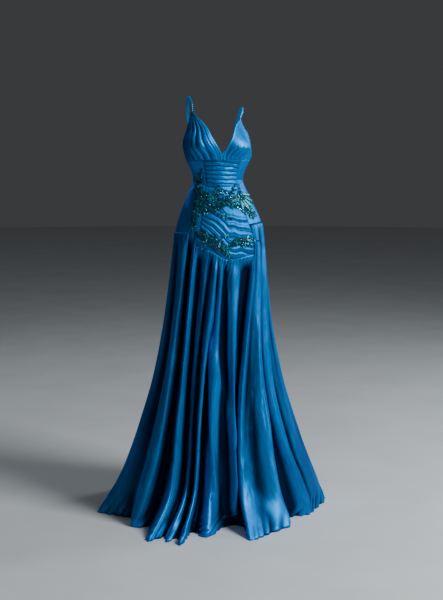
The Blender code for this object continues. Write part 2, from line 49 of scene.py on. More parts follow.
GOWN_LENGTH = 1.60
CLOTH, TRIM = 0.0011, 0.0010
SEAM = 0.0003
LIFT = 0.0004
HEM_Z = 0.0012 - GOWN_LENGTH
HIP_Z, KNEE_Z, SHIN_Z = -0.55, -1.10, -1.42
UNDERBUST_Z, WAIST_SEAM_Z = -0.220, -0.318
PRINCESS, SIDE = 42.0, 88.0
STRAP_WIDTH, STRAP_LIFT, STRAP_TWIST, STRAP_DOME = 0.009, 0.0009, 0.25, 0.0008
BINDING_WIDTH, BINDING_RUN, BINDING_ROLL = 0.0055, (0.02, 0.985), 0.0009
SHOULDER_SLOPE = 0.185
HIP_SEAM_Z, HIP_SEAM_TILT = -0.475, 0.018
YOKE_TUCK, YOKE_TUCK_OVER = 2.3, (0.004, 0.030)
HEM_FLARE = 1.8
PANEL_PAST_CREST = 0.12
AXIS_X = 0.015

# The form: z, half width, depth to the front, depth to the back, squareness, sideways shift.
FORM = np.array(
    [
        (0.000, 0.104, 0.066, 0.080, 2.00, 0.000),
        (-0.060, 0.108, 0.089, 0.092, 2.05, -0.005),
        (-0.110, 0.123, 0.099, 0.100, 2.10, 0.002),
        (-0.165, 0.131, 0.103, 0.102, 2.10, 0.005),
        (-0.220, 0.123, 0.096, 0.088, 2.10, 0.010),
        (-0.260, 0.103, 0.087, 0.076, 2.10, 0.010),
        (-0.295, 0.095, 0.082, 0.071, 2.10, 0.010),
        (-0.340, 0.112, 0.090, 0.088, 2.10, 0.010),
        (-0.400, 0.139, 0.105, 0.118, 2.20, 0.013),
        (-0.460, 0.161, 0.121, 0.143, 2.30, 0.016),
        (-0.530, 0.174, 0.135, 0.154, 2.35, 0.016),
        (-0.620, 0.181, 0.146, 0.160, 2.35, 0.014),
        (-0.725, 0.190, 0.158, 0.168, 2.30, 0.012),
        (-0.850, 0.205, 0.173, 0.182, 2.30, 0.010),
        (-0.980, 0.228, 0.190, 0.202, 2.30, 0.010),
        (-1.110, 0.258, 0.207, 0.228, 2.30, 0.010),
        (-1.240, 0.298, 0.225, 0.260, 2.25, 0.010),
        (-1.370, 0.343, 0.243, 0.296, 2.20, 0.010),
        (-1.500, 0.396, 0.290, 0.350, 2.15, 0.010),
        (-1.600, 0.436, 0.390, 0.410, 2.10, 0.010),
    ]
)
CUP_SWELL = {"reach": 0.031, "angle": 35.0, "z": -0.168, "spread": 25.0, "above": 0.058, "below": 0.032}

# Cup edges from the underbust seam up to the strap: share of the way, plan angle, z.
CUP_INNER = (
    (0.00, 1.2, UNDERBUST_Z),
    (0.14, 2.4, -0.200),
    (0.46, 16.5, -0.143),
    (0.74, 33.0, -0.090),
    (1.00, 62.0, -0.052),
)
CUP_OUTER = ((0.00, SIDE, UNDERBUST_Z), (0.30, SIDE, -0.170), (0.66, 75.0, -0.112), (1.00, 68.5, -0.052))
# Top edge of a back panel: plan angle, z.
BACK_TOP = (
    (88.0, -0.170),
    (104.0, -0.176),
    (122.0, -0.166),
    (137.0, -0.150),
    (152.0, -0.182),
    (180.0, -0.228),
)
BACK_STRAP = 137.0
# Lower edge of the ruched yoke: plan angle, z.
YOKE_HEM = ((-42.0, -0.540), (-20.0, -0.562), (5.0, -0.590), (26.0, -0.582), (42.0, -0.574))
# A shoulder strap over the shoulder: half spread, y, z.
STRAP_PATH = (
    (0.0985, -0.029, -0.020),
    (0.1035, -0.002, -0.001),
    (0.1010, 0.048, -0.028),
    (0.0920, 0.077, -0.088),
)

# Fold lines of the skirt in their order round the hem: name, plan angle at the hip, knee and hem,
# then how far the line stands out of the form (or, below nothing, in from it) at the knee and hem.
FOLD_LINES = (
    ("back_right_valley", -172.0, -170.0, -169.0, -0.020, -0.040),
    ("back_right_crest", -160.0, -159.0, -160.0, 0.016, 0.030),
    ("back_right_valley_2", -158.0, -157.0, -155.0, -0.022, -0.045),
    ("back_right_crest_2", -142.0, -142.0, -141.0, 0.014, 0.034),
    ("back_right_valley_3", -140.0, -139.0, -136.0, -0.018, -0.030),
    ("back_right_crest_3", -124.0, -122.0, -120.0, 0.014, 0.030),
    ("side_right_valley", -117.0, -114.0, -110.0, -0.014, -0.030),
    ("side_right_crest", -92.0, -94.0, -93.0, 0.010, 0.046),
    ("side_right_valley_2", -84.0, -79.0, -74.0, -0.008, -0.062),
    ("right_fold_1", -58.0, -57.0, -61.0, 0.014, -0.012),
    ("right_valley_1", -57.0, -56.5, -57.5, -0.026, -0.052),
    ("right_edge", -44.6, -43.8, -42.0, 0.022, 0.080),
    ("right_edge_under", -43.2, -42.6, -38.5, -0.026, 0.006),
    ("right_small_fold", -28.0, -35.5, -35.0, -0.004, 0.060),
    ("right_small_valley", -24.0, -34.0, -32.0, -0.018, 0.008),
    ("centre_fold_1", -13.0, -26.5, -27.5, 0.020, 0.088),
    ("centre_valley_1", -11.0, -25.5, -26.5, -0.026, -0.072),
    ("centre_fold_2", -7.0, -16.5, -18.0, 0.008, -0.012),
    ("centre_valley_2", 0.0, -3.0, -3.0, -0.024, -0.140),
    ("centre_fold_3", 9.0, 5.5, 4.5, 0.010, -0.150),
    ("centre_valley_3", 43.2, 12.0, 8.5, -0.032, -0.120),
    ("left_edge", 44.6, 12.5, 5.5, 0.014, 0.040),
    ("left_panel", 49.0, 24.0, 21.0, 0.004, -0.012),
    ("left_fold_1", 54.0, 36.5, 37.5, 0.012, -0.042),
    ("left_valley_1", 57.0, 43.0, 50.0, -0.030, -0.112),
    ("left_fold_2", 68.0, 52.0, 62.0, 0.004, -0.060),
    ("left_valley_2", 78.0, 66.0, 74.0, -0.008, -0.044),
    ("side_left_crest", 90.0, 88.0, 93.0, 0.010, 0.010),
    ("side_left_valley", 104.0, 103.0, 106.0, -0.014, -0.030),
    ("back_left_crest_3", 118.0, 119.0, 120.0, 0.014, 0.028),
    ("back_left_valley_3", 124.0, 126.0, 128.0, -0.020, -0.034),
    ("back_left_crest_2", 140.0, 140.0, 139.0, 0.014, 0.030),
    ("back_left_valley_2", 146.0, 147.0, 148.0, -0.020, -0.046),
    ("back_left_crest", 162.0, 160.0, 161.0, 0.016, 0.034),
    ("back_left_valley", 168.0, 168.0, 169.0, -0.018, -0.030),
    ("back_crest", 178.0, 179.0, 179.0, 0.012, 0.036),
)
FOLD_GROWTH = ((-1.42, 1.15), (-1.10, 1.00), (-0.80, 0.80), (-0.62, 0.50), (-0.52, 0.22), (-0.45, 0.10))

# Creases of the skirt: a fold line, how many lines past it the top and the bottom lie, z at the top
# and bottom, half width, height (below nothing, a trough).
SKIRT_CREASES = (
    ("right_small_valley", 0.60, 4.95, -0.60, -1.30, 0.030, 0.0130),
    ("centre_fold_1", 0.20, 2.60, -0.76, -1.58, 0.013, -0.0080),
    ("centre_valley_1", 0.80, 1.55, -0.94, -1.59, 0.010, 0.0080),
    ("right_fold_1", 0.00, 0.05, -0.50, -1.60, 0.005, 0.0045),
    ("right_edge", 0.02, 0.05, -0.50, -1.60, 0.005, 0.0045),
    ("centre_fold_1", 0.02, 0.05, -0.56, -1.60, 0.005, 0.0050),
    ("left_valley_1", 0.86, 0.84, -0.56, -1.62, 0.018, 0.0150),
    ("left_fold_2", 0.62, 0.50, -0.60, -1.60, 0.020, -0.0130),
    ("left_panel", 0.86, 0.95, -0.60, -1.50, 0.010, 0.0080),
    ("right_fold_1", -0.55, -0.45, -0.62, -1.30, 0.012, 0.0040),
    ("side_right_valley_2", 0.35, 0.30, -0.80, -1.52, 0.014, -0.0050),
    ("right_valley_1", 0.45, 0.50, -0.56, -1.35, 0.010, 0.0040),
    ("right_valley_1", 0.72, 0.70, -0.70, -1.56, 0.011, -0.0045),
    ("right_edge_under", 0.55, 0.50, -0.56, -1.20, 0.008, 0.0035),
    ("right_small_valley", 0.40, 0.45, -0.57, -1.10, 0.007, 0.0040),
    ("right_small_valley", 0.70, 0.62, -0.75, -1.50, 0.009, -0.0040),
    ("centre_fold_2", 0.35, 0.30, -0.59, -1.25, 0.008, 0.0042),
    ("centre_fold_2", 0.65, 0.60, -0.62, -1.45, 0.010, -0.0040),
    ("centre_valley_2", 0.45, 0.55, -0.60, -1.05, 0.007, 0.0036),
    ("centre_fold_3", 0.30, 0.35, -0.60, -0.98, 0.007, 0.0040),
    ("centre_fold_3", 0.55, 0.50, -0.66, -1.40, 0.009, -0.0045),
    ("centre_fold_3", 0.78, 0.70, -0.60, -1.30, 0.007, 0.0036),
    ("left_edge", 0.50, 0.60, -0.70, -1.50, 0.012, -0.0040),
    ("left_panel", 0.45, 0.50, -0.52, -1.15, 0.009, 0.0040),
    ("left_fold_1", -0.35, -0.40, -0.80, -1.56, 0.012, 0.0050),
    ("left_valley_1", 0.45, 0.55, -0.52, -1.30, 0.012, 0.0050),
    ("left_fold_2", 0.40, 0.45, -0.60, -1.55, 0.014, -0.0060),
    ("left_valley_2", 0.40, 0.30, -0.55, -1.40, 0.014, 0.0060),
    ("left_valley_2", 0.75, 0.70, -0.80, -1.57, 0.014, -0.0060),
    ("side_left_valley", -0.40, -0.45, -0.55, -1.30, 0.014, -0.0050),
    ("back_left_crest_3", -0.45, -0.40, -0.52, -1.40, 0.012, 0.0045),
    ("back_left_valley_3", 0.50, 0.45, -0.60, -1.50, 0.014, 0.0050),
    ("back_left_valley_2", 0.50, 0.55, -0.52, -1.35, 0.012, -0.0045),
    ("back_crest", -0.45, -0.40, -0.60, -1.50, 0.012, 0.0045),
    ("back_right_valley", 0.50, 0.45, -0.55, -1.40, 0.012, -0.0045),
    ("back_right_valley_2", 0.45, 0.50, -0.60, -1.55, 0.014, 0.0050),
    ("back_right_valley_3", 0.50, 0.45, -0.52, -1.35, 0.012, -0.0045),
    ("side_right_valley", 0.35, 0.40, -0.56, -1.45, 0.014, 0.0050),
    ("side_right_valley", 0.70, 0.65, -0.70, -1.55, 0.014, -0.0055),
)
# Gathers under a skirt panel's top seam: how far apart, how deep and how long they run down.
GATHERS = {
    "skirt_front": (0.0135, 0.0030, 0.20),
    "skirt_side_right": (0.0230, 0.0022, 0.16),
    "skirt_side_left": (0.0210, 0.0024, 0.18),
    "skirt_back_right": (0.0220, 0.0026, 0.17),
    "skirt_back_left": (0.0210, 0.0026, 0.17),
}
GATHER = {"fan": 1.1, "wander": 0.30, "uneven": 0.022, "start": 0.006}  # what all the gathers share
# The front's surface is calmer on the wearer's right, near the top: share, plan angles, depths below it.
CALM = {"share": 0.75, "angle": (-6.0, -20.0), "down": (0.30, 0.05)}
SEAT, SEAT_REACH = 0.0012, 0.070  # the skirt's top edge over the form, and where it hangs free of it
CRINKLE = {"along": 0.060, "across": 0.016, "height": 0.0016, "patch": (0.09, 0.17)}
CREASE_SWAY = {"size": 0.006, "swings": 7.0, "shift": 2.3}
HEM_WAVE = {"pitch": 0.055, "depth": 0.0060, "reach": 0.10, "stretch": 0.12}
FOLD_REACHES = ((0.022, 0.45), (0.060, 0.55))  # how far off neighbours lie, and their weight, for the painted shade in the folds
SEAM_EASE = 0.012  # how soon the skirt's surface goes flat towards a seam
COLUMNS_PER_LINE, SKIRT_ROWS = 14, 150

# --- smooth tables, the form and the skirt's rings ------------------------------------------------


def spline(table, at, level=True):
    """Smooth curve through a table whose first column is the key; level through its turns."""
    rows = np.array(sorted(table, key=lambda row: row[0]), float)
    key, value = rows[:, 0], rows[:, 1:]
    step = np.diff(key)[:, None]
    slope = np.diff(value, axis=0) / step
    tangent = np.empty_like(value)
    tangent[0], tangent[-1] = slope[0], slope[-1]
    tangent[1:-1] = (slope[:-1] * step[1:] + slope[1:] * step[:-1]) / (step[1:] + step[:-1])
    if level:
        tangent[1:-1][slope[:-1] * slope[1:] <= 0] = 0.0
    at = np.clip(np.asarray(at, float), key[0], key[-1])
    i = np.clip(np.searchsorted(key, at, side="right") - 1, 0, len(key) - 2)
    t = ((at - key[i]) / (key[i + 1] - key[i]))[..., None]
    h = (key[i + 1] - key[i])[..., None]
    return (
        value[i] * (1 + 2 * t) * (1 - t) ** 2
        + tangent[i] * h * t * (1 - t) ** 2
        + value[i + 1] * t**2 * (3 - 2 * t)
        + tangent[i + 1] * h * t**2 * (t - 1)
    )


def smooth(low, high, value):
    """0 below low, 1 above high, an even S between them."""
    t = np.clip((value - low) / (high - low), 0, 1)
    return t * t * (3 - 2 * t)


def soft_noise(u, v, seed, cells=64):
    """Smooth noise from -1 to 1, with one swing in each unit cell."""
    lattice = np.random.default_rng(seed).uniform(-1, 1, (cells, cells))
    u, v = np.broadcast_arrays(u, v)
    iu, iv = np.floor(u).astype(int), np.floor(v).astype(int)
    su, sv = smooth(0, 1, u - iu), smooth(0, 1, v - iv)

    def corner(a, b):
        return lattice[(iu + a) % cells, (iv + b) % cells]

    low = corner(0, 0) * (1 - su) + corner(1, 0) * su
    high = corner(0, 1) * (1 - su) + corner(1, 1) * su
    return low * (1 - sv) + high * sv


def form_radius(angle, z):
    """Distance from the form's axis to its surface, in the direction of a plan angle in degrees."""
    half, front, back, power, _ = np.moveaxis(spline(FORM, z), -1, 0)
    a = np.radians(angle)
    depth = np.where(np.cos(a) > 0, front, back)
    return ((np.abs(np.sin(a)) / half) ** power + (np.abs(np.cos(a)) / depth) ** power) ** (-1 / power)


def cup_swell(angle, z):
    s = CUP_SWELL
    up = np.where(z > s["z"], (z - s["z"]) / s["above"], (z - s["z"]) / s["below"])
    across = (np.abs(angle) - s["angle"]) / s["spread"]
    return s["reach"] * np.exp(-(across**2) - up**2)


def place(angle, z, radius):
    """A point in the row frame from its plan angle, height and radius, with the figure's lean."""
    a = np.radians(angle)
    x = radius * np.sin(a)
    lean = np.clip((z - UNDERBUST_Z) / -UNDERBUST_Z, 0, 1) * SHOULDER_SLOPE
    return np.stack([x + spline(FORM, z)[..., -1], -radius * np.cos(a), z - lean * x], axis=-1)


def on_form(angle, z, out=0.0):
    """Points on the form, moved out of it along its normal."""
    angle, z = np.broadcast_arrays(np.asarray(angle, float), np.asarray(z, float))

    def bare(a, h):
        return place(a, h, form_radius(a, h) + cup_swell(a, h))

    across = bare(angle + 0.2, z) - bare(angle - 0.2, z)
    up = bare(angle, z + 0.0005) - bare(angle, z - 0.0005)
    normal = np.cross(across, up)
    normal /= np.linalg.norm(normal, axis=-1, keepdims=True)
    return bare(angle, z) + normal * np.asarray(out, float)[..., None]


def fold_points(z):
    """Plan position of every fold line at the heights z: an array of heights x lines x 2."""
    angles = np.array([row[1:4] for row in FOLD_LINES])
    knee, hem = (np.array([row[k] for row in FOLD_LINES]) for k in (4, 5))
    angle = spline(np.column_stack([[HIP_Z, KNEE_Z, HEM_Z], angles.T]), z)
    grown = knee * spline(FOLD_GROWTH, z)
    spread = np.clip((SHIN_Z - z) / (SHIN_Z - HEM_Z), 0, 1)[..., None] ** HEM_FLARE
    radius = form_radius(angle, np.broadcast_to(z[..., None], angle.shape)) + grown + (hem - grown) * spread
    a = np.radians(angle)
    return np.stack([radius * np.sin(a), -radius * np.cos(a)], axis=-1)


def skirt_points(line, z):
    """Points of the skirt's surface at `line`, a place between fold lines by number, and heights z."""
    z = np.asarray(z, float)
    points = fold_points(z)
    i = math.floor(line)
    t = line - i
    near = [points[:, (i + k) % len(FOLD_LINES)] for k in (-1, 0, 1, 2)]
    before, here, after, beyond = near
    chords = [np.linalg.norm(q - p, axis=1, keepdims=True) for p, q in zip(near, near[1:])]

    def tangent(p, q, r, first, second):
        return ((q - p) / first * second + (r - q) / second * first) / (first + second)

    start = tangent(before, here, after, chords[0], chords[1]) * chords[1]
    end = tangent(here, after, beyond, chords[1], chords[2]) * chords[1]
    plan = (
        here * (1 + 2 * t) * (1 - t) ** 2
        + start * t * (1 - t) ** 2
        + after * t**2 * (3 - 2 * t)
        + end * t**2 * (t - 1)
    )
    return np.column_stack([plan[:, 0] + spline(FORM, z)[..., -1], plan[:, 1], z])


def line_number(name):
    return [row[0] for row in FOLD_LINES].index(name)


def hip_seam_z(angle):
    return HIP_SEAM_Z + HIP_SEAM_TILT * np.sin(np.radians(angle))


def yoke_hem_z(angle):
    return spline(YOKE_HEM, np.clip(angle, -PRINCESS, PRINCESS))[..., 0]


# --- shader building ------------------------------------------------------------------------------


class Wire:
    """A shader socket, with arithmetic that adds Math nodes."""

    def __init__(self, paint, socket):
        self.paint, self.socket = paint, socket

    def _with(self, operation, first, second):
        return self.paint.math(operation, first, second)

    def __add__(self, other):
        return self._with("ADD", self, other)

    def __radd__(self, other):
        return self._with("ADD", other, self)

    def __mul__(self, other):
        return self._with("MULTIPLY", self, other)


class Paint:
    """A material's node tree, with one method for any node."""

    def __init__(self, name, **uniform):
        self.material = bpy.data.materials.new(name)
        self.material.use_nodes = True
        self.tree = self.material.node_tree
        self.surface = self.tree.nodes["Principled BSDF"]
        for socket, value in uniform.items():
            self.surface.inputs[socket.replace("_", " ")].default_value = value

    def node(self, kind, settings=None, values=None, output=0):
        made = self.tree.nodes.new(kind)
        for key, value in (settings or {}).items():
            if key == "stops":
                ramp = made.color_ramp
                while len(ramp.elements) < len(value):
                    ramp.elements.new(1.0)
                for element, (position, colour) in zip(ramp.elements, value):
                    element.position, element.color = position, (*colour, 1.0)
            else:
                setattr(made, key, value)
        for key, value in (values or {}).items():
            if isinstance(value, Wire):
                self.tree.links.new(value.socket, made.inputs[key])
            else:
                made.inputs[key].default_value = value
        return Wire(self, made.outputs[output])

    def feed(self, socket, wire):
        self.tree.links.new(wire.socket, self.surface.inputs[socket])

    def cloth_place(self, across=1.0, along=1.0):
        """The piece's own cloth coordinates in metres, scaled across and along the cloth."""
        place_on = self.node("ShaderNodeUVMap", {"uv_map": "cloth"})
        return self.node("ShaderNodeMapping", None, {"Vector": place_on, "Scale": (across, along, 1.0)})

    def noise(self, vector, scale, detail=3.0, roughness=0.55):
        values = {"Vector": vector, "Scale": scale, "Detail": detail, "Roughness": roughness}
        return self.node("ShaderNodeTexNoise", None, values)

    def ramp(self, share, *stops):
        """Colours along a share from 0 to 1: rows of place and colour."""
        return self.node("ShaderNodeValToRGB", {"stops": stops}, {0: share})

    def attribute(self, name):
        return self.node("ShaderNodeAttribute", {"attribute_name": name}, None, output=2)

    def math(self, operation, first, second):
        return self.node("ShaderNodeMath", {"operation": operation}, {0: first, 1: second})

    def mix(self, share, first, second):
        return self.node("ShaderNodeMix", {"data_type": "RGBA"}, {0: share, 6: first, 7: second}, output=2)

    def bump(self, height, strength, distance):
        values = {"Height": height, "Strength": strength, "Distance": distance}
        self.feed("Normal", self.node("ShaderNodeBump", None, values))


FOLD_SHADOW = 0.12  # painted shadow: colour deep in a fold, as a share of the cloth's deep colour


def satin(name, deep, bright, crinkle=0.5):
    """Heavy satin: a close weave with long floats, slubs, and small crush marks along the fall, with
    painted shade darkening its colour deep in the folds.
    """
    sheen = {"Specular_Tint": (0.02, 0.36, 0.95, 1.0), "Anisotropic": 0.45}
    paint = Paint(name, Metallic=0.72, Specular_IOR_Level=0.5, **sheen)
    slubs = paint.noise(paint.cloth_place(260.0, 14.0), 1.0, 2.0)
    clouds = paint.noise(paint.cloth_place(9.0, 3.5), 1.0, 3.0)
    share = slubs * 0.50 + clouds * 0.50
    colour = paint.ramp(share, (0.30, deep), (0.68, bright))
    # painted shade: the fold attribute mixes the colour towards the painted shadow colour deep in the folds
    fold = paint.attribute("fold")
    shade = paint.node("ShaderNodeMath", {"operation": "POWER", "use_clamp": True}, {0: fold, 1: 0.8})
    shadow = (*[FOLD_SHADOW * c for c in deep], 1.0)
    paint.feed("Base Color", paint.mix(shade, shadow, colour))
    paint.feed("Roughness", 0.40 + clouds * 0.10 + slubs * 0.08)
    floats = paint.noise(paint.cloth_place(1500.0, 240.0), 1.0, 1.0)
    crush = paint.noise(paint.cloth_place(46.0, 17.0), 1.0, 4.0, 0.62)
    paint.bump(crush * crinkle + slubs * 0.16 + floats * 0.012, 0.85, 0.0036)
    return paint.material


def lace_net(name):
    """Dark net ground of the beaded lace, corded, with open holes between the cords."""
    paint = Paint(name, Specular_IOR_Level=0.15)
    nearest = {"Vector": paint.cloth_place(330.0, 330.0), "Scale": 1.0}
    mesh = paint.node("ShaderNodeTexVoronoi", {"feature": "DISTANCE_TO_EDGE"}, nearest)
    patches = paint.noise(paint.cloth_place(70.0, 70.0), 1.0, 3.0)
    cords = paint.math("LESS_THAN", mesh, 0.13)
    solid = paint.math("GREATER_THAN", patches, 0.58)
    shown = paint.math("MAXIMUM", cords, solid)
    inside = paint.math("GREATER_THAN", paint.attribute("edge") + patches * 0.55, 0.52)
    paint.feed("Alpha", shown * inside)
    dark, light = (0.000, 0.010, 0.026), (0.001, 0.050, 0.090)
    paint.feed("Base Color", paint.ramp(patches, (0.35, dark), (0.70, light)))
    paint.feed("Roughness", 0.60 + patches * 0.2)
    paint.bump(mesh * -1.0 + patches * 0.4, 0.6, 0.0008)
    return paint.material


def embroidery(name):
    """Satin-stitched thread of the lace's leaves and petals: fine threads across each leaf."""
    paint = Paint(name, Metallic=0.55, Specular_IOR_Level=0.3, Specular_Tint=(0.20, 0.75, 0.85, 1.0))
    across = {"Vector": paint.cloth_place(0.4, 1.0), "Scale": 520.0, "Distortion": 1.5}
    threads = paint.node("ShaderNodeTexWave", {"bands_direction": "Y"}, across)
    colour = paint.ramp(
        paint.attribute("tone"),
        (0.0, (0.001, 0.014, 0.034)),
        (0.50, (0.003, 0.050, 0.090)),
        (0.80, (0.015, 0.180, 0.240)),
        (1.0, (0.080, 0.400, 0.460)),
    )
    paint.feed("Base Color", paint.mix(threads * 0.25, colour, (0.004, 0.035, 0.050, 1.0)))
    paint.feed("Roughness", 0.34 + threads * 0.12)
    paint.bump(threads, 0.4, 0.0003)
    return paint.material


def beads(name):
    """Glass and metal beads: each has a tone, from smoky teal through seafoam to silver and bronze."""
    paint = Paint(name, Metallic=0.75, Coat_Weight=0.3, Coat_Roughness=0.10)
    tone = paint.attribute("tone")
    colour = paint.ramp(
        tone,
        (0.00, (0.002, 0.020, 0.040)),
        (0.34, (0.006, 0.070, 0.120)),
        (0.56, (0.020, 0.230, 0.320)),
        (0.74, (0.100, 0.440, 0.520)),
        (0.90, (0.280, 0.620, 0.740)),
        (0.97, (0.150, 0.110, 0.120)),
    )
    paint.feed("Base Color", colour)
    paint.feed("Roughness", 0.12 + tone * 0.10)
    return paint.material


def zip_metal(name):
    paint = Paint(name, Metallic=1.0)
    place_on = paint.node("ShaderNodeTexCoord", None, None, output=3)
    stretched = paint.node("ShaderNodeMapping", None, {"Vector": place_on, "Scale": (400, 400, 6000)})
    brushed = paint.noise(stretched, 1.0)
    dark, light = (0.26, 0.30, 0.34), (0.44, 0.48, 0.52)
    paint.feed("Base Color", paint.ramp(brushed, (0.3, dark), (0.7, light)))
    paint.feed("Roughness", 0.24 + brushed * 0.14)
    paint.bump(brushed, 0.2, 0.0001)
    return paint.material


def pale_floor(name):
    paint = Paint(name)
    place_on = paint.node("ShaderNodeTexCoord", None, None, output=3)
    grain = paint.noise(place_on, 3.0, 5.0)
    paint.feed("Base Color", paint.ramp(grain, (0.3, (0.60, 0.61, 0.63)), (0.7, (0.66, 0.67, 0.69))))
    paint.feed("Roughness", 0.6 + grain * 0.1)
    return paint.material


# --- cloth pieces ---------------------------------------------------------------------------------


def grid_normals(points):
    across, up = np.gradient(points, axis=0), np.gradient(points, axis=1)
    normal = np.cross(across, up)
    return normal / np.maximum(np.linalg.norm(normal, axis=-1, keepdims=True), 1e-12)


def lengths(points, axis):
    """Distance travelled along one axis of a grid of points, in metres."""
    step = np.linalg.norm(np.diff(points, axis=axis), axis=-1)
    pad = [(1, 0) if k == axis else (0, 0) for k in range(2)]
    return np.pad(np.cumsum(step, axis=axis), pad)


def in_scene(name, data):
    obj = bpy.data.objects.new(name, data)
    bpy.context.scene.collection.objects.link(obj)
    return obj


def grid_faces(columns, rows):
    """Quads of a grid of points, numbered upwards and then round."""
    index = np.arange(columns * rows).reshape(columns, rows)
    corners = [index[:-1, :-1], index[1:, :-1], index[1:, 1:], index[:-1, 1:]]
    return np.stack(corners, axis=-1).reshape(-1, 4)


def walled(name, points, faces, place_on, attributes, material, wall):
    """An object with a wall on one side of its points, cloth coordinates and attributes."""
    mesh = bpy.data.meshes.new(name)
    mesh.from_pydata(points.tolist(), [], faces.tolist())
    layer = mesh.uv_layers.new(name="cloth")
    layer.uv.foreach_set("vector", place_on[faces.ravel()].astype(np.float32).ravel())
    for label, values in attributes.items():
        layer = mesh.attributes.new(label, "FLOAT", "POINT")
        layer.data.foreach_set("value", np.asarray(values).astype(np.float32).ravel())
    mesh.shade_smooth()
    mesh.materials.append(material)
    obj = in_scene(name, mesh)
    solid = obj.modifiers.new("wall", "SOLIDIFY")
    solid.thickness = wall
    solid.offset = 1.0
    return obj


def cloth(name, points, material, wall=CLOTH, edge=None, fold=None):
    """A wall from a grid of points: first axis round the gown, second axis upwards.

    `edge` is 0 at a ragged border and 1 inside it; `fold` is the painted shade of the satin's colour, 0
    deep in a fold (darkest) and 1 on its crest (unshaded).
    """
    columns, rows = points.shape[:2]
    around = lengths(points, 0)
    around -= around[columns // 2]
    place_on = np.stack([around, points[..., 2]], axis=-1).reshape(-1, 2)
    attributes = {} if edge is None else {"edge": edge}
    attributes["fold"] = np.broadcast_to(1.0 if fold is None else fold, (columns, rows))
    flat = points.reshape(-1, 3)
    return walled(name, flat, grid_faces(columns, rows), place_on, attributes, material, wall)


def dress(obj, node):
    """Hangs the piece on the gown, and hides the solid that it stands for."""
    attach(obj, "gown")
    if node:
        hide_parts(node)


def pleat(phase, rise=0.72):
    """One ridge for each unit of phase: a rounded slow rise and a quick fall, from 0 to 1."""
    t = np.mod(phase, 1.0)
    up = np.sin(np.pi / 2 * np.clip(t / rise, 0, 1))
    return np.where(t < rise, up, smooth(1.0, rise, t))


def seam_angle(z, angle):
    return math.degrees(SEAM / 2 / float(form_radius(angle, np.array(z))))


def grid(across, up):
    return np.linspace(0, 1, across)[:, None], np.linspace(0, 1, up)[None]


def between(value, up, down):
    """1 between two soft edges, each given by where it starts and where it ends."""
    return smooth(*up, value) * (1 - smooth(*down, value))


def wander(s, t, swings):
    """Noise over a piece, from rows of height, swings across, swings up and seed."""
    return sum(height * soft_noise(s * across, t * up, seed) for height, across, up, seed in swings)


def cup_edges(shares_up):
    return spline(CUP_INNER, shares_up), spline(CUP_OUTER, shares_up)


# Where a cup is pleated, by side, -1 the wearer's right: soft edges across it and up it.
CUP_REACH = {
    -1: (((0.05, 0.14), (0.60, 0.84)), ((0.0, 0.04), (0.70, 1.0))),
    1: (((0.04, 0.10), (0.34, 0.56)), ((0.0, 0.05), (0.16, 0.44))),
}
# Its pleats: where the count starts, how many to its width, their shift over its height, the share of a
# ridge that rises, height.
CUP_PLEATS = {-1: (0.86, 6.6, 0.35, 0.66, 0.0062), 1: (0.0, -8.0, -1.6, 0.72, 0.0034)}
# The fine pleats over them, by side: soft edges across and up, count, share of the drift, height.
FINE_PLEATS = {
    -1: ((-1.0, 0.0), ((0.0, 0.08), (0.3, 0.7)), 17.0, 2, 0.0012),
    1: ((0.50, 0.70), ((0.0, 0.06), (0.10, 0.30)), 11.0, 1, 0.0016),
}
CUP_DRIFT, CUP_SWAY, CUP_DENT = 0.30, 0.0016, -0.0010  # wander of the pleats, and the cup's soft unevenness


def cup(name, side, material):
    """A bust cup. The right one is pleated from the strap to under the bust, the left one nearly plain."""
    s, t = grid(110, 90)
    inner, outer = cup_edges(t[0])
    edge = inner[None] + (outer - inner)[None] * s[..., None]
    angle = edge[..., 0] - seam_angle(UNDERBUST_Z, SIDE) * s * 2
    z = edge[..., 1] + SEAM / 2 * (1 - t)
    drift = CUP_DRIFT * soft_noise(s * 3 + 0 * t, t * 2, 11)
    across, up = CUP_REACH[side]
    reach = between(s, *across) * between(t, *up)
    begin, count, slant, rise, height = CUP_PLEATS[side]
    ridges = pleat((begin - s) * count + drift + slant * t, rise) * reach
    out = height * ridges
    across, up, count, share, height = FINE_PLEATS[side]
    fine = height * pleat(s * count + share * drift) * smooth(*across, s) * between(t, *up)
    # painted shade, carried by fold: darker in the pleats' valleys and, on the right cup, darker towards
    # its lower outer part, the side away from the light
    if side < 0:
        fold = 0.30 + 0.70 * np.where(reach > 0.4, ridges / np.maximum(reach, 0.4), 0.85)
        fold = fold * (1 - 0.45 * smooth(0.45, 0.95, s) * (1 - smooth(0.6, 1.0, t)))
    else:
        fold = 1 - 0.5 * reach * (1 - ridges)
    swell = CUP_SWAY * soft_noise(s * 3, t * 2 + 7, 12) * between(t, (0.0, 0.2), (0.8, 0.95))
    out = out + fine + np.maximum(swell, CUP_DENT)
    points = on_form(side * angle, z, out)
    if side < 0:
        points, fold = points[::-1], fold[::-1]
    return cloth(name, points, material, fold=fold)


def neck_binding(name, side, material):
    """The bound edge of a cup: a soft roll along the V."""
    t = np.linspace(*BINDING_RUN, 90)
    inner, outer = cup_edges(t)
    width = np.linalg.norm(on_form(outer[:, 0], outer[:, 1]) - on_form(inner[:, 0], inner[:, 1]), axis=1)
    share = np.clip(BINDING_WIDTH / width, 0, 0.5)
    s = np.linspace(0, 1, 7)[:, None]
    edge = inner[None] + (outer - inner)[None] * (share[None] * s)[..., None]
    roll = BINDING_ROLL * np.sin(np.pi * s) ** 0.7 + 0 * t[None]
    points = on_form(side * edge[..., 0], edge[..., 1], CLOTH + LIFT + roll)
    return cloth(name, points if side > 0 else points[::-1], material, TRIM)


def tangent_round(angle, z):
    step = on_form(angle + 1.0, z) - on_form(angle - 1.0, z)
    return step / np.linalg.norm(step)


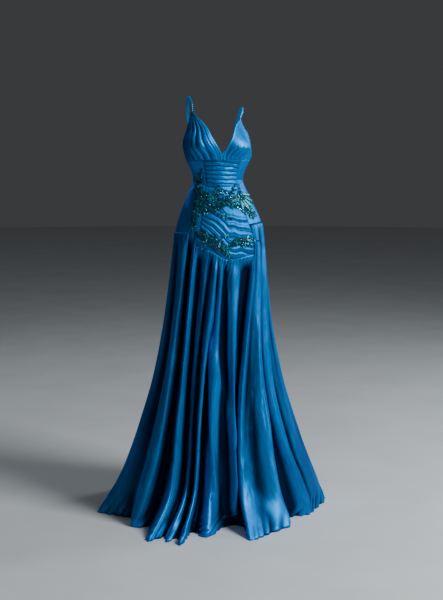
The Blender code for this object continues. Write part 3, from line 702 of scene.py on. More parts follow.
def strap_path(side, count):
    """Middle line of a strap and its direction across, from the cup over the shoulder to the back."""
    low, high, cup_z = CUP_INNER[-1][1], CUP_OUTER[-1][1], CUP_INNER[-1][2]
    back_z = float(spline(BACK_TOP, np.array(BACK_STRAP))[0])
    middle = [(side * x, y, z - SHOULDER_SLOPE * side * x) for x, y, z in STRAP_PATH]
    start = on_form(side * (low + high) / 2, cup_z + STRAP_LIFT)
    knots = np.array([start, *middle, on_form(side * BACK_STRAP, back_z + STRAP_LIFT)])
    reached = np.cumsum([0.0, *np.linalg.norm(np.diff(knots, axis=0), axis=1)])
    shares = np.linspace(0, 1, count)
    path = spline(np.column_stack([reached / reached[-1], knots]), shares, level=False)
    along = np.gradient(path, axis=0)
    along /= np.linalg.norm(along, axis=1, keepdims=True)
    outwards = [
        (0.0, *tangent_round(side * (low + high) / 2, cup_z)),
        (0.5, 1.0, 0.0, -SHOULDER_SLOPE),
        (1.0, *-tangent_round(side * BACK_STRAP, back_z)),
    ]
    sideways = spline(outwards, shares)
    square = np.clip(np.minimum(shares, 1 - shares) / STRAP_TWIST, 0, 1)[:, None]
    sideways -= square * along * (sideways * along).sum(axis=1, keepdims=True)
    return path, sideways / np.linalg.norm(sideways, axis=1, keepdims=True)


def strap(name, side, material):
    """A soft rouleau strap, a little domed across."""
    path, sideways = strap_path(side, 90)
    s = np.linspace(-0.5, 0.5, 7)[:, None, None]
    points = path[None] + sideways[None] * s * STRAP_WIDTH
    normal = grid_normals(points)
    points = points + normal * STRAP_DOME * (1 - (2 * s) ** 2)
    return cloth(name, points, material, TRIM)


# The midriff's pleats: how many, how far they drop to the wearer's left, and their heights.
MIDRIFF_PLEATS = {"count": 6.0, "slope": 0.75, "rise": 0.74, "height": 0.0042, "fine": 0.0005}
MIDRIFF_WANDER = ((0.22, 3.0, 4.0, 21), (0.10, 8.0, 6.0, 22))


def midriff_front(name, material):
    """Six folded pleats, nearly level, each lapping the one below, lower on the wearer's left."""
    s, t = grid(150, 90)
    edge = PRINCESS - seam_angle(WAIST_SEAM_Z, PRINCESS)
    angle = -edge + 2 * edge * s + 0 * t
    z = WAIST_SEAM_Z + SEAM / 2 + (UNDERBUST_Z - WAIST_SEAM_Z - SEAM) * t + 0 * s
    cut = MIDRIFF_PLEATS
    phase = 1 - t * cut["count"] - cut["slope"] * s + wander(s, t, MIDRIFF_WANDER)
    ridges = pleat(phase, cut["rise"]) * np.sin(np.pi * np.clip(t, 0, 1)) ** 0.35
    ends = between(s, (0, 0.05), (0.95, 1))
    fine = cut["fine"] * soft_noise(s * 8, t * 22, 23)
    points = on_form(angle, z, (cut["height"] * ridges + fine) * (0.35 + 0.65 * ends))
    # painted shade: fold darkens the satin's colour in the pleats' valleys
    return cloth(name, points, material, fold=0.25 + 0.75 * ridges)


# The yoke's ruching: where the gathers meet (plan angle), how many, how far they swing down to each side,
# their height, and the fine ones over them.
YOKE_RUCHES = {"meet": 6.0, "count": 8.5, "rise": 0.66, "height": 0.0030}
YOKE_SWING = {"right": -1.9, "left": -0.95}
YOKE_FINE = {"count": 21.0, "swing": 2.2, "height": 0.0008}
YOKE_WANDER = ((0.40, 3.0, 4.0, 31), (0.16, 9.0, 8.0, 32))


def hip_yoke_front(name, material):
    """Ruched yoke: gathers swing down from the side seams and meet above the point."""
    s, t = grid(170, 150)
    edge = PRINCESS - seam_angle(HIP_Z, PRINCESS)
    angle = -edge + 2 * edge * s + 0 * t
    low = yoke_hem_z(angle) + SEAM / 2
    z = low + (WAIST_SEAM_Z - SEAM / 2 - low) * t
    below = hip_seam_z(np.sign(angle) * edge) - z
    cut = YOKE_RUCHES
    tuck = YOKE_TUCK * np.interp(below, YOKE_TUCK_OVER, (0, 1)) * smooth(0.8, 1, abs(2 * s - 1))
    angle = angle + np.sign(angle) * tuck
    meet = (angle - cut["meet"]) / edge
    swing = np.where(meet < 0, YOKE_SWING["right"] * meet, YOKE_SWING["left"] * meet)
    droop = swing * (0.45 + 0.55 * smooth(0.1, 0.8, 1 - t))
    sway = wander(s, t, YOKE_WANDER)
    ridges = pleat(t * cut["count"] - droop + sway, cut["rise"])
    depth = 0.70 + 0.30 * soft_noise(s * 4.0, t * 6.0, 33)
    second = pleat(t * YOKE_FINE["count"] - YOKE_FINE["swing"] * droop + 2 * sway)
    ends = np.sin(np.pi * np.clip(t, 0, 1)) ** 0.3 * (0.45 + 0.55 * between(s, (0, 0.04), (0.96, 1)))
    out = (cut["height"] * ridges * depth + YOKE_FINE["height"] * second) * ends
    # painted shade: fold darkens the satin's colour in the gathers' hollows
    fold = 0.15 + 0.70 * ridges * depth + 0.15 * second
    return cloth(name, on_form(angle, z, out), material, fold=fold)


# Plain body panels: how many columns, and the plan angles of their seams.
BODY_PANELS = {"side": (60, PRINCESS, SIDE), "back": (90, SIDE, 180)}
# Their drag lines: the waist's z and reach, how many, slant, wander, height, soft edge across.
DRAG_LINES = {
    "side": (-0.285, 0.045, 13.0, 1.2, 0.5, 0.0013, (0.95, 0.3)),
    "back": (-0.300, 0.040, 12.0, -1.4, 0.6, 0.0014, (0.1, 0.8)),
}
# Their unevenness: swings across and up, seed, and where it goes flat (past 1, nowhere).
UNEVEN = {"side": (3, 9, 41, (1.0, 2.0)), "back": (4, 8, 51, (0.97, 1.0))}
UNEVENNESS = 0.0005


def panel_top(kind, angle):
    return spline(BACK_TOP, angle)[..., 0] if kind == "back" else UNDERBUST_Z - SEAM / 2


def body_panel(name, kind, side, material):
    """Plain panel from the hip seam up, with a few drag lines at the waist."""
    columns, first, last = BODY_PANELS[kind]
    s, t = grid(columns, 90)
    first, last = first + seam_angle(WAIST_SEAM_Z, first), last - seam_angle(WAIST_SEAM_Z, last)
    angle = first + (last - first) * s + 0 * t
    low = hip_seam_z(side * angle) + SEAM / 2
    z = low + (panel_top(kind, angle) - low) * t
    waist, spread, count, slant, sway, height, reach = DRAG_LINES[kind]
    across, up, seed, flat = UNEVEN[kind]
    drag = pleat(t * count + slant * s + sway * soft_noise(s * 3, t * 5, seed + side))
    out = height * drag * np.exp(-(((z - waist) / spread) ** 2)) * smooth(*reach, s)
    out = out + UNEVENNESS * soft_noise(s * across, t * up, seed + 2 + side)
    points = on_form(side * angle, z, out * np.sin(np.pi * t) ** 0.3 * (1 - smooth(*flat, s)))
    return cloth(name, points if side > 0 else points[::-1], material)


# The cut of each sheet: piece, greatest width and length, area, how it is held, and by what.
CUTS = (
    ("satin_cup_right", 0.220, 0.235, 0.0300, "gathered", "pleated_midriff"),
    ("satin_cup_left", 0.200, 0.205, 0.0230, "gathered", "pleated_midriff"),
    ("bound_edge_right", 0.012, 0.230, 0.0014, "laid", "satin_cup_right"),
    ("bound_edge_left", 0.012, 0.200, 0.0012, "laid", "satin_cup_left"),
    ("rouleau_strap_right", 0.010, 0.281, 0.0026, "hung", "satin_cup_right"),
    ("rouleau_strap_left", 0.010, 0.244, 0.0023, "hung", "satin_cup_left"),
    ("pleated_midriff", 0.151, 0.115, 0.0155, "gathered", "ruched_yoke"),
    ("ruched_yoke", 0.245, 0.355, 0.0625, "gathered", "pleated_midriff"),
    ("satin_side_right", 0.134, 0.291, 0.0285, "draped", "satin_cup_right"),
    ("satin_side_left", 0.127, 0.260, 0.0245, "draped", "satin_cup_left"),
    ("satin_back_right", 0.262, 0.365, 0.0620, "draped", "rouleau_strap_right"),
    ("satin_back_left", 0.252, 0.332, 0.0550, "draped", "rouleau_strap_left"),
    ("satin_skirt_front", 0.985, 1.150, 0.5020, "gathered", "ruched_yoke"),
    ("satin_skirt_side_right", 0.636, 1.210, 0.3860, "hung", "satin_side_right"),
    ("satin_skirt_side_left", 0.784, 1.225, 0.4765, "hung", "satin_side_left"),
    ("satin_skirt_back_right", 0.850, 1.175, 0.4890, "hung", "satin_back_right"),
    ("satin_skirt_back_left", 0.930, 1.190, 0.5480, "hung", "satin_back_left"),
    ("lace_net_upper", 0.310, 0.095, 0.0160, "laid", "ruched_yoke"),
    ("lace_net_side", 0.040, 0.046, 0.0012, "laid", "satin_side_right"),
    ("lace_net_lower", 0.146, 0.050, 0.0047, "laid", "ruched_yoke"),
    ("lace_net_lower_left", 0.091, 0.033, 0.0022, "laid", "ruched_yoke"),
)


# --- the beaded lace ------------------------------------------------------------------------------

LACE_OUT = CLOTH + 0.0040  # the lace's height over the form, clear of the gathers under it
# Lace grounds: plan angle, z of the middle, half height.
GROUNDS = {
    "applique_upper": (
        (-62.0, -0.372, 0.012),
        (-54.0, -0.374, 0.036),
        (-38.0, -0.378, 0.044),
        (-22.0, -0.384, 0.034),
        (-6.0, -0.380, 0.022),
        (10.0, -0.374, 0.018),
        (26.0, -0.374, 0.024),
        (42.0, -0.384, 0.038),
        (52.0, -0.400, 0.040),
        (58.0, -0.424, 0.014),
    ),
    "applique_side": ((-58.0, -0.446, 0.008), (-52.0, -0.446, 0.022), (-46.5, -0.450, 0.018)),
    "applique_lower": (
        (-41.5, -0.486, 0.010),
        (-34.0, -0.500, 0.018),
        (-24.0, -0.520, 0.024),
        (-13.0, -0.538, 0.022),
        (-2.0, -0.556, 0.020),
        (4.0, -0.570, 0.010),
    ),
    "applique_lower_left": (
        (7.0, -0.538, 0.012),
        (16.0, -0.526, 0.016),
        (26.0, -0.522, 0.013),
        (40.0, -0.520, 0.008),
    ),
}
# Flowers by applique: plan angle, z, radius, petals, turn in degrees.
FLOWERS = {
    "applique_upper": (
        (-50, -0.374, 0.0170, 6, 10),
        (-23, -0.374, 0.0190, 6, 35),
        (-38, -0.398, 0.0125, 5, 0),
        (-37, -0.350, 0.0130, 5, 20),
        (29, -0.378, 0.0140, 6, 50),
        (54, -0.424, 0.0170, 6, 15),
    ),
    "applique_side": (
        (-52, -0.436, 0.0115, 5, 40),
    ),
    "applique_lower": (
        (-20, -0.512, 0.0165, 6, 5),
        (-31, -0.500, 0.0120, 5, 30),
        (-3, -0.549, 0.0130, 6, 0),
    ),
    "applique_lower_left": (
        (17, -0.524, 0.0130, 6, 20),
    ),
}
# Sprays of leaves by applique: plan angle, z, heading (0 towards the wearer's left, 90 up), length,
# turn along it in degrees, pairs of leaves.
SPRAYS = {
    "applique_upper": (
        (-53, -0.356, 115, 0.085, -50, 5),
        (-48, -0.390, 235, 0.060, 60, 4),
        (-33, -0.372, 30, 0.060, 40, 4),
        (-30, -0.392, 250, 0.050, -50, 3),
        (-18, -0.360, 60, 0.055, -80, 4),
        (-17, -0.392, 285, 0.060, 60, 4),
        (-12, -0.376, 5, 0.070, -30, 5),
        (3, -0.368, 20, 0.060, 45, 4),
        (8, -0.388, -15, 0.055, 40, 4),
        (36, -0.372, 55, 0.050, 35, 4),
        (36, -0.366, 20, 0.055, -70, 4),
        (38, -0.378, -25, 0.060, -50, 4),
        (35, -0.392, -70, 0.050, 30, 3),
        (56, -0.408, 100, 0.060, 25, 4),
    ),
    "applique_side": (
        (-52, -0.448, 265, 0.034, 20, 3),
    ),
    "applique_lower": (
        (-38, -0.494, 165, 0.030, -50, 3),
        (-27, -0.508, 215, 0.040, 40, 3),
        (-15, -0.522, -30, 0.060, -30, 4),
        (-22, -0.524, 245, 0.035, -30, 3),
        (-12, -0.512, 40, 0.040, -60, 3),
        (-2, -0.560, -55, 0.040, -20, 3),
    ),
    "applique_lower_left": (
        (12, -0.530, 200, 0.034, 40, 3),
        (21, -0.520, 15, 0.062, -35, 4),
        (19, -0.532, -25, 0.050, 50, 4),
    ),
}
# Long narrow leaves that fan from one place, by applique: plan angle, z, heading, length, width, tone.
FINGERS = {
    "applique_upper": (
        (48, -0.350, -8, 0.040, 0.0095, 1.0),
        (49, -0.358, -32, 0.046, 0.0100, 0.95),
        (47, -0.364, -55, 0.048, 0.0100, 1.0),
        (44, -0.368, -76, 0.046, 0.0095, 0.9),
        (40, -0.370, -98, 0.038, 0.0085, 0.85),
    ),
}
LEAF = {"along": 7, "across": 5, "dome": 0.0011, "rib": 0.0005, "lift": 0.0008, "thread": 0.0004}
FLOWER_LIFT, STEM_LIFT, NET = 0.0022, 0.0010, 0.0005
BEAD = {"string": 0.00085, "gap": 0.0021, "loose": 0.0010, "sequin": 0.0017, "thin": 0.0003}
LOOSE_APART, SEQUINS_APART = 0.0042, 0.0075


def local_on_form(angle, z, across, up, out):
    """A point at a distance across and up, in metres, from a place on the form."""
    radius = form_radius(angle, z) + cup_swell(angle, z)
    return on_form(angle + np.degrees(across / radius), z + up, out)


def turned(along, across, heading):
    """Distances along and across a heading, as distances towards the wearer's left and up."""
    h = np.radians(heading)
    return along * np.cos(h) - across * np.sin(h), along * np.sin(h) + across * np.cos(h)


class Motifs:
    """Leaves and petals of one applique, gathered into one mesh, with the bead strings round them."""

    def __init__(self):
        self.points, self.faces, self.tones, self.cloth = [], [], [], []
        self.string_points, self.string_edges = [], []
        self.count = 0

    def leaf(self, angle, z, start, heading, length, width, tone, blunt=0.0, raise_tip=0.0):
        """One domed leaf or petal with a pressed midrib, and a string of beads round its edge."""
        t = np.linspace(0, 1, LEAF["along"])[:, None]
        s = np.linspace(-1, 1, LEAF["across"])[None]
        outline = np.sin(np.pi * t ** (1 - 0.3 * blunt)) ** (0.8 - 0.25 * blunt) + 0.04
        along, across = length * t + 0 * s, width / 2 * outline * s
        a, b = turned(along, across, heading)
        dome = LEAF["dome"] * (1 - s**2) * outline - LEAF["rib"] * np.exp(-((s / 0.2) ** 2)) * outline
        out = LACE_OUT + LEAF["lift"] + dome + raise_tip * t**2
        points = local_on_form(angle, z, start[0] + a, start[1] + b, out)
        self.points.append(points.reshape(-1, 3))
        self.faces.append(self.count + grid_faces(*points.shape[:2]))
        self.cloth.append(np.stack([along, across], -1).reshape(-1, 2))
        self.tones.append(np.full(along.size, tone))
        self.count += along.size
        self.string(np.concatenate([points[:, 0], points[::-1, -1]]))

    def string(self, points, closed=False):
        first = sum(len(p) for p in self.string_points)
        self.string_points.append(points)
        edges = [(first + k, first + k + 1) for k in range(len(points) - 1)]
        self.string_edges += edges + ([(first + len(points) - 1, first)] if closed else [])

    def flower(self, angle, z, radius, petals, turn, rng):
        for k in range(petals):
            heading = turn + 360 * k / petals
            start = turned(radius * 0.18, 0.0, heading)
            tone = 0.35 + 0.45 * rng.random()
            self.leaf(angle, z, start, heading, radius * 0.85, radius * 0.62, tone, 1.0, FLOWER_LIFT)
        ring = np.radians(np.arange(0, 360, 30))
        across, up = radius * 0.22 * np.cos(ring), radius * 0.22 * np.sin(ring)
        lift = LACE_OUT + FLOWER_LIFT + 0 * ring
        self.string(local_on_form(angle, z, across, up, lift), closed=True)

    def spray(self, angle, z, heading, length, turn, pairs, rng):
        t = np.linspace(0, 1, 12)
        course = np.radians(heading + turn * t)
        step = length / 11
        stem = np.stack([np.cumsum(np.cos(course)) * step, np.cumsum(np.sin(course)) * step])
        self.string(local_on_form(angle, z, stem[0], stem[1], LACE_OUT + STEM_LIFT + 0 * t))
        for k in range(pairs):
            share = (k + 0.7) / (pairs + 0.3)
            i = min(int(share * 11), 11)
            size = length * (0.30 - 0.10 * share) * (0.85 + 0.3 * rng.random())
            for side in (-1, 1):
                out = heading + turn * share + side * (38 + 22 * rng.random())
                tone = rng.random() ** 1.5
                self.leaf(angle, z, stem[:, i], out, size, size * (0.34 + 0.10 * rng.random()), tone)
        self.leaf(angle, z, stem[:, -1], heading + turn, length * 0.24, length * 0.085, 0.5 * rng.random())

    def build(self, name, material):
        points, faces, place_on = (np.concatenate(x) for x in (self.points, self.faces, self.cloth))
        attributes = {"tone": np.concatenate(self.tones)}
        return walled(name, points, faces, place_on, attributes, material, LEAF["thread"])


def lace_ground(name, outline, material):
    """Net ground of an applique: a thin shell just over the gathers, ragged at its edge."""
    keys = np.linspace(outline[0][0], outline[-1][0], 24 * len(outline) // 2)
    middle, half = np.moveaxis(spline(outline, keys), -1, 0)
    t = np.linspace(-1, 1, 40)[None]
    z = middle[:, None] + half[:, None] * t
    share = np.linspace(0, 1, len(keys))[:, None]
    edge = (1 - np.abs(t) ** 3) * smooth(0, 0.06, share) * smooth(0, 0.06, 1 - share)
    points = on_form(keys[:, None] + 0 * z, z, LACE_OUT + 0 * z)
    return cloth(name, points, material, NET, edge=edge)


# --- beads and sequins ----------------------------------------------------------------------------


class Growth:
    """A tree of geometry nodes with named inputs, with one method for any node."""

    def __init__(self, name, **numbers):
        self.tree = bpy.data.node_groups.new(name, "GeometryNodeTree")
        face = self.tree.interface
        for way in ("INPUT", "OUTPUT"):
            face.new_socket("Geometry", in_out=way, socket_type="NodeSocketGeometry")
        self.sockets = {}
        for label, number in numbers.items():
            kind = "NodeSocketInt" if isinstance(number, int) else "NodeSocketFloat"
            self.sockets[label] = face.new_socket(label, in_out="INPUT", socket_type=kind).identifier
        self.numbers = numbers
        self.entry = self.tree.nodes.new("NodeGroupInput")
        self.exit = self.tree.nodes.new("NodeGroupOutput")

    def node(self, kind, settings=None, values=None):
        made = self.tree.nodes.new(kind)
        for key, value in (settings or {}).items():
            setattr(made, key, value)
        for key, value in (values or {}).items():
            if isinstance(value, bpy.types.NodeSocket):
                self.tree.links.new(value, made.inputs[key])
            else:
                made.inputs[key].default_value = value
        return made.outputs

    def grow(self, seed_obj, name, material, **numbers):
        """Runs the tree on an object and returns the result as a plain mesh object."""
        modifier = seed_obj.modifiers.new("growth", "NODES")
        modifier.node_group = self.tree
        for label, value in {**self.numbers, **numbers}.items():
            modifier[self.sockets[label]] = value
        bpy.context.view_layer.update()
        graph = bpy.context.evaluated_depsgraph_get()
        mesh = bpy.data.meshes.new_from_object(seed_obj.evaluated_get(graph))
        seed_obj.modifiers.remove(modifier)
        mesh.name = name
        mesh.materials.clear()
        mesh.materials.append(material)
        return in_scene(name, mesh)

    def beads_on(self, points, shape, rotation=None, spread=0.35, material=None):
        """Sets a shape on each point, each with its own size and tone, and ends the tree."""
        sizes = {2: 1 - spread, 3: 1 + spread, "ID": 0}
        size = self.node("FunctionNodeRandomValue", {"data_type": "FLOAT"}, sizes)[1]
        values = {"Points": points, "Instance": shape, "Scale": size}
        if rotation is not None:
            values["Rotation"] = rotation
        beads_set = self.node("GeometryNodeInstanceOnPoints", None, values)[0]
        tones = {2: 0.0, 3: 1.0, "Seed": 7}
        tone = self.node("FunctionNodeRandomValue", {"data_type": "FLOAT"}, tones)[1]
        store = {"data_type": "FLOAT", "domain": "INSTANCE"}
        toned = {"Geometry": beads_set, "Name": "tone", "Value": tone}
        named = self.node("GeometryNodeStoreNamedAttribute", store, toned)[0]
        real = self.node("GeometryNodeRealizeInstances", None, {"Geometry": named})[0]
        done = self.node("GeometryNodeSetMaterial", None, {"Geometry": real, "Material": material})[0]
        self.tree.links.new(done, self.exit.inputs[0])


def bead_shape(tree, radius):
    ball = tree.node("GeometryNodeMeshIcoSphere", None, {"Radius": radius, "Subdivisions": 1})[0]
    return tree.node("GeometryNodeSetShadeSmooth", None, {"Geometry": ball})[0]


def string_tree(material):
    """Beads threaded along every edge line of a mesh."""
    tree = Growth("bead_strings", Radius=BEAD["string"], Gap=BEAD["gap"])
    inputs = tree.entry.outputs
    line = tree.node("GeometryNodeMeshToCurve", None, {"Mesh": inputs[0]})[0]
    spacing = {"Curve": line, "Length": inputs["Gap"]}
    spaced = tree.node("GeometryNodeResampleCurve", {"mode": "LENGTH"}, spacing)[0]
    tree.beads_on(spaced, bead_shape(tree, inputs["Radius"]), spread=0.2, material=material)
    return tree


def scatter_tree(material, flat=False):
    """Loose beads, or flat sequins, strewn over a surface with a least distance between them."""
    numbers = {"Radius": BEAD["loose"], "Apart": LOOSE_APART, "Density": 90000.0, "Seed": 1}
    tree = Growth("sequins" if flat else "loose_beads", **numbers)
    inputs = tree.entry.outputs
    spacing = {"Distance Min": inputs["Apart"], "Density Max": inputs["Density"], "Seed": inputs["Seed"]}
    evenly = {"distribute_method": "POISSON"}
    strewn = tree.node("GeometryNodeDistributePointsOnFaces", evenly, {"Mesh": inputs[0], **spacing})
    if flat:
        radii = {"Radius Top": inputs["Radius"], "Radius Bottom": inputs["Radius"]}
        disc = {"Vertices": 10, **radii, "Depth": BEAD["thin"]}
        shape = tree.node("GeometryNodeMeshCone", None, disc)[0]
    else:
        shape = bead_shape(tree, inputs["Radius"])
    tree.beads_on(strewn[0], shape, strewn[2], material=material)
    return tree


def lines_object(name, points, edges):
    mesh = bpy.data.meshes.new(name)
    mesh.from_pydata(np.asarray(points).tolist(), edges, [])
    return in_scene(name, mesh)


def make_applique(node, ground_material, thread, glass, strings, loose, sequins, seed):
    """One beaded applique: net ground, stitched leaves and flowers, bead strings, loose beads."""
    rng = np.random.default_rng(seed)
    motifs = Motifs()
    for row in SPRAYS.get(node, ()):
        motifs.spray(*row, rng)
    for angle, z, *row in FINGERS.get(node, ()):
        motifs.leaf(angle, z, (0.0, 0.0), *row, raise_tip=0.0015)
    for row in FLOWERS.get(node, ()):
        motifs.flower(*row, rng)
    word = node.replace("applique_", "")
    ground = lace_ground(f"lace_net_{word}", GROUNDS[node], ground_material)
    dress(ground, node)
    dress(motifs.build(f"stitched_leaves_{word}", thread), None)
    guide = lines_object("guide", np.concatenate(motifs.string_points), motifs.string_edges)
    dress(strings.grow(guide, f"bead_strings_{word}", glass), None)
    bpy.data.objects.remove(guide)
    ground.modifiers["wall"].show_viewport = False
    for kind, tree, radius, apart, draw in (
        ("loose_beads", loose, BEAD["loose"], LOOSE_APART, seed),
        ("sequins", sequins, BEAD["sequin"], SEQUINS_APART, seed + 1),
    ):
        strewn = tree.grow(ground, f"{kind}_{word}", glass, Radius=radius, Apart=apart, Seed=draw)
        dress(strewn, None)
    ground.modifiers["wall"].show_viewport = True


# --- the skirt ------------------------------------------------------------------------------------


def crease_heights(lines, z, along):
    """Height of the listed creases over a panel. `along` is the distance round it."""
    height = np.zeros_like(z)
    for line, top_off, low_off, top_z, low_z, half, tall in SKIRT_CREASES:
        start, end = line_number(line) + top_off, line_number(line) + low_off
        if not lines[0] < start < lines[-1]:
            continue
        share = np.clip((top_z - z) / (top_z - low_z), 0, 1)
        middle = np.empty_like(z)
        for j in range(z.shape[1]):
            at = start + (end - start) * share[:, j]
            middle[:, j] = np.interp(at, lines, along[:, j])
        sway = CREASE_SWAY["size"] * np.sin(share * CREASE_SWAY["swings"] + start * CREASE_SWAY["shift"])
        off = (along - middle - sway) / (half * (0.7 + 0.9 * share))
        lean = np.where(off > 0, 1.6, 0.8)
        height += tall * np.exp(-((off * lean) ** 2)) * np.sin(np.pi * share) ** 0.6
    return height


def fold_depths(points, around):
    """How far out each point of a skirt panel stands of its neighbours round the gown, 0 to 1, used as
    painted shade that darkens the folds' valleys.
    """
    radius = np.linalg.norm(points[..., :2] - (AXIS_X, 0.0), axis=-1)
    depths = np.zeros_like(radius)
    for row in range(radius.shape[1]):
        at = around[:, row]
        for reach, share in FOLD_REACHES:
            low = np.interp(at - reach, at, radius[:, row])
            high = np.interp(at + reach, at, radius[:, row])
            bulge = (radius[:, row] - (low + high) / 2) / (0.55 * reach)
            depths[:, row] += share * np.clip(0.62 + bulge, 0, 1)
    return smooth(0.22, 0.90, depths)


def gather_wander(around, down, seed):
    return GATHER["wander"] * soft_noise(around / 0.05, down / 0.09, seed)


def gathers(name, around, down, seed):
    """Small folds under the top seam, closest there, that die out at uneven lengths."""
    pitch, depth, length = GATHERS[name]
    spread = 1 + GATHER["fan"] * down
    ripple = 0.5 + 0.5 * np.sin(2 * np.pi * (around / pitch / spread + gather_wander(around, down, seed)))
    uneven = soft_noise(around / GATHER["uneven"], 0 * down, seed + 1) ** 2
    reach = length * (0.55 + 0.55 * uneven)
    return depth * ripple**1.4 * (1 - smooth(0.12, 1.0, down / reach)) * smooth(0, GATHER["start"], down)


def crinkles(around, z, down, seed):
    """Thin crush lines in patches."""
    along = z / CRINKLE["along"] + 0.6 * gather_wander(around, down, seed)
    folded = (1 - np.abs(soft_noise(around / CRINKLE["across"], along, seed + 2))) ** 3
    across, up = CRINKLE["patch"]
    patchy = smooth(-0.3, 0.6, soft_noise(around / across, z / up, seed + 3)) * smooth(0.05, 0.3, down)
    return CRINKLE["height"] * (folded - 0.3) * patchy


def hem_wave(around, hem, seed):
    shift = 0.8 * soft_noise(around / HEM_WAVE["stretch"], 0 * hem, seed + 4)
    wave = np.sin(2 * np.pi * (around / HEM_WAVE["pitch"] + shift))
    return HEM_WAVE["depth"] * wave * (1 - smooth(0.0, HEM_WAVE["reach"], hem)) ** 2


def skirt_panel(name, start, end, top_z, material, seed):
    """One skirt panel between two places among the fold lines, from its top seam to the hem."""
    steps = max(8, round((end - start) * COLUMNS_PER_LINE))
    lines = np.linspace(start, end, steps + 1)
    shares = np.linspace(0, 1, SKIRT_ROWS + 1)
    columns = []
    for line in lines:
        x, y, _ = skirt_points(line, np.array([HIP_Z]))[0]
        top = float(top_z(math.degrees(math.atan2(x - AXIS_X, -y))))
        columns.append(skirt_points(line, HEM_Z + (top - HEM_Z) * shares))
    points = np.array(columns)
    around, z = lengths(points, 0), points[..., 2]
    down = z.max(axis=1, keepdims=True) - z
    hem = z - HEM_Z

    height = gathers(name, around, down, seed) + crease_heights(lines, z, around)
    height = height + crinkles(around, z, down, seed) + hem_wave(around, hem, seed)
    ends = smooth(0, SEAM_EASE, around) * smooth(0, SEAM_EASE, around[-1:] - around)
    angle = np.degrees(np.arctan2(points[..., 0] - AXIS_X, -points[..., 1]))
    if name == "skirt_front":
        height = height * (1 - CALM["share"] * smooth(*CALM["angle"], angle) * smooth(*CALM["down"], down))
    seat = on_form(angle, z, SEAT)
    flush = (1 - smooth(0.0, SEAT_REACH, points[:, -1:, 2] - z))[..., None]
    points[..., :2] += (seat - points)[..., :2] * flush
    normal = grid_normals(points)
    normal[..., 2] *= smooth(0.0, 0.01, hem)
    points = points + normal * (height * ends)[..., None]
    # painted shade: darker deep in the skirt's folds, full colour on their crests
    fold = fold_depths(points, around)
    for side, inside in ((0, 1), (-1, -2)):
        back = points[inside] - points[side]
        points[side] += back / np.linalg.norm(back, axis=1, keepdims=True) * SEAM / 2
    return cloth(name, points, material, fold=fold)


# --- stage, light and camera ----------------------------------------------------------------------


def make_floor():
    below = (0, 0, -GOWN_LENGTH)
    bpy.ops.mesh.primitive_circle_add(vertices=64, radius=14.0, fill_type="NGON", location=below)
    floor = bpy.context.active_object
    floor.name = "floor"
    floor.data.materials.append(pale_floor("pale_floor"))


LIGHT_AIM_Z = -0.75
# Lights: name, azimuth, elevation, distance, size, power, colour.
LIGHTS = (
    ("key", 46, 34, 4.2, 1.5, 230, (0.94, 1.0, 1.0)),
    ("front_fill", -24, 36, 5.0, 1.2, 16, (0.88, 0.97, 1.0)),
    ("rim_right", 104, 22, 4.0, 0.8, 46, (0.90, 0.98, 1.0)),
    ("rim_left", -150, 26, 4.0, 0.8, 10, (0.90, 0.98, 1.0)),
)
SKY, SKY_STRENGTH = (0.80, 0.83, 0.88, 1.0), 0.06
CAMERA = {"azimuth": -11.0, "pitch": 8.14, "distance": 4.65, "x": 0.010, "height": -0.10, "shift": 0.0136}
LENS, SENSOR = 72.0, 36.0


def area_light(name, azimuth, elevation, distance, size, power, colour):
    """A square soft light that looks at the gown's middle."""
    a, e = math.radians(azimuth), math.radians(elevation)
    back = Vector((math.sin(a) * math.cos(e), -math.cos(a) * math.cos(e), math.sin(e)))
    lamp = bpy.data.lights.new(name, "AREA")
    lamp.size, lamp.energy, lamp.color = size, power, colour
    obj = in_scene(name, lamp)
    obj.location = Vector((0, 0, LIGHT_AIM_Z)) + back * distance
    obj.rotation_euler = back.to_track_quat("Z", "Y").to_euler()


def make_lights():
    for light in LIGHTS:
        area_light(*light)
    world = bpy.data.worlds.new("studio")
    world.use_nodes = True
    sky = world.node_tree.nodes["Background"]
    sky.inputs["Color"].default_value = SKY
    sky.inputs["Strength"].default_value = SKY_STRENGTH
    bpy.context.scene.world = world


def make_camera():
    """Stands at the wearer's right front, a little under shoulder height, and looks slightly down."""
    a, e = math.radians(CAMERA["azimuth"]), math.radians(CAMERA["pitch"])
    ahead = Vector((-math.sin(a) * math.cos(e), math.cos(a) * math.cos(e), -math.sin(e)))
    right = Vector((math.cos(a), math.sin(a), 0.0))
    level = Vector((-math.sin(a), math.cos(a), 0.0))
    lens = bpy.data.cameras.new("camera")
    lens.lens, lens.sensor_width = LENS, SENSOR
    camera = in_scene("camera", lens)
    stand = Vector((CAMERA["x"], 0.0, CAMERA["height"]))
    camera.location = stand + right * CAMERA["shift"] - level * CAMERA["distance"]
    camera.rotation_euler = (-ahead).to_track_quat("Z", "Y").to_euler()
    bpy.context.scene.camera = camera


# --- the gown -------------------------------------------------------------------------------------

make_camera()
make_lights()
make_floor()

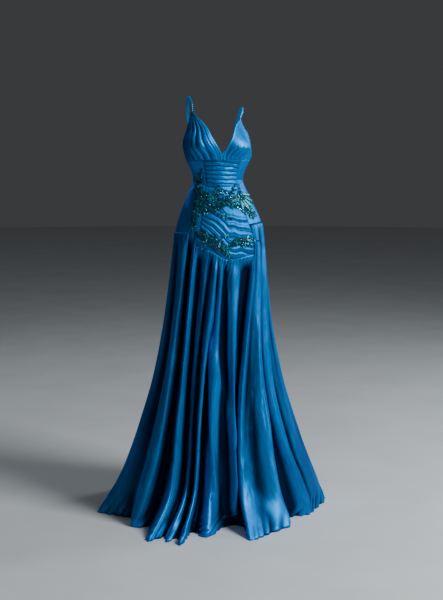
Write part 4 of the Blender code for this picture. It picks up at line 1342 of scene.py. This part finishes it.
SATIN = satin("gown_satin", (0.000, 0.090, 0.330), (0.000, 0.275, 0.740))
BOUND = satin("binding_satin", (0.000, 0.190, 0.480), (0.000, 0.340, 0.780), crinkle=0.2)

for word, side in (("right", -1), ("left", 1)):
    dress(cup(f"satin_cup_{word}", side, SATIN), f"cup_{word}")
    dress(neck_binding(f"bound_edge_{word}", side, BOUND), f"neck_binding_{word}")
    dress(strap(f"rouleau_strap_{word}", side, BOUND), f"strap_{word}")
    for kind in BODY_PANELS:
        dress(body_panel(f"satin_{kind}_{word}", kind, side, SATIN), f"{kind}_panel_{word}")
dress(midriff_front("pleated_midriff", SATIN), "midriff_front")
dress(hip_yoke_front("ruched_yoke", SATIN), "hip_yoke_front")

right_seam = line_number("right_edge") + PANEL_PAST_CREST
left_seam = line_number("left_edge") - PANEL_PAST_CREST
right_side = line_number("side_right_crest") - 0.5
left_side = line_number("side_left_crest") + 0.5
for node, start, end, top, seed in (
    ("skirt_front", right_seam, left_seam, yoke_hem_z, 61),
    ("skirt_side_right", right_side, right_seam, hip_seam_z, 71),
    ("skirt_side_left", left_seam, left_side, hip_seam_z, 81),
    ("skirt_back_right", -0.5, right_side, hip_seam_z, 91),
    ("skirt_back_left", left_side, len(FOLD_LINES) - 0.5, hip_seam_z, 101),
):
    piece = skirt_panel(node, start, end, top, SATIN, seed)
    piece.name = node.replace("skirt", "satin_skirt")
    dress(piece, node)

GROUND, THREAD, GLASS = lace_net("lace_net"), embroidery("leaf_thread"), beads("bead_glass")
STRINGS, LOOSE, SEQUINS = string_tree(GLASS), scatter_tree(GLASS), scatter_tree(GLASS, flat=True)
for seed, node in enumerate(GROUNDS, 201):
    make_applique(node, GROUND, THREAD, GLASS, STRINGS, LOOSE, SEQUINS, seed)

for name, width, length, area, held, holder in CUTS:
    word = name.rpartition("lace_net_")[2]
    piece = bpy.data.objects[name]

METAL = zip_metal("zip_metal")
for node in ("zip_slider", "zip_tab"):
    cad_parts[node].data.materials.clear()
    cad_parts[node].data.materials.append(METAL)
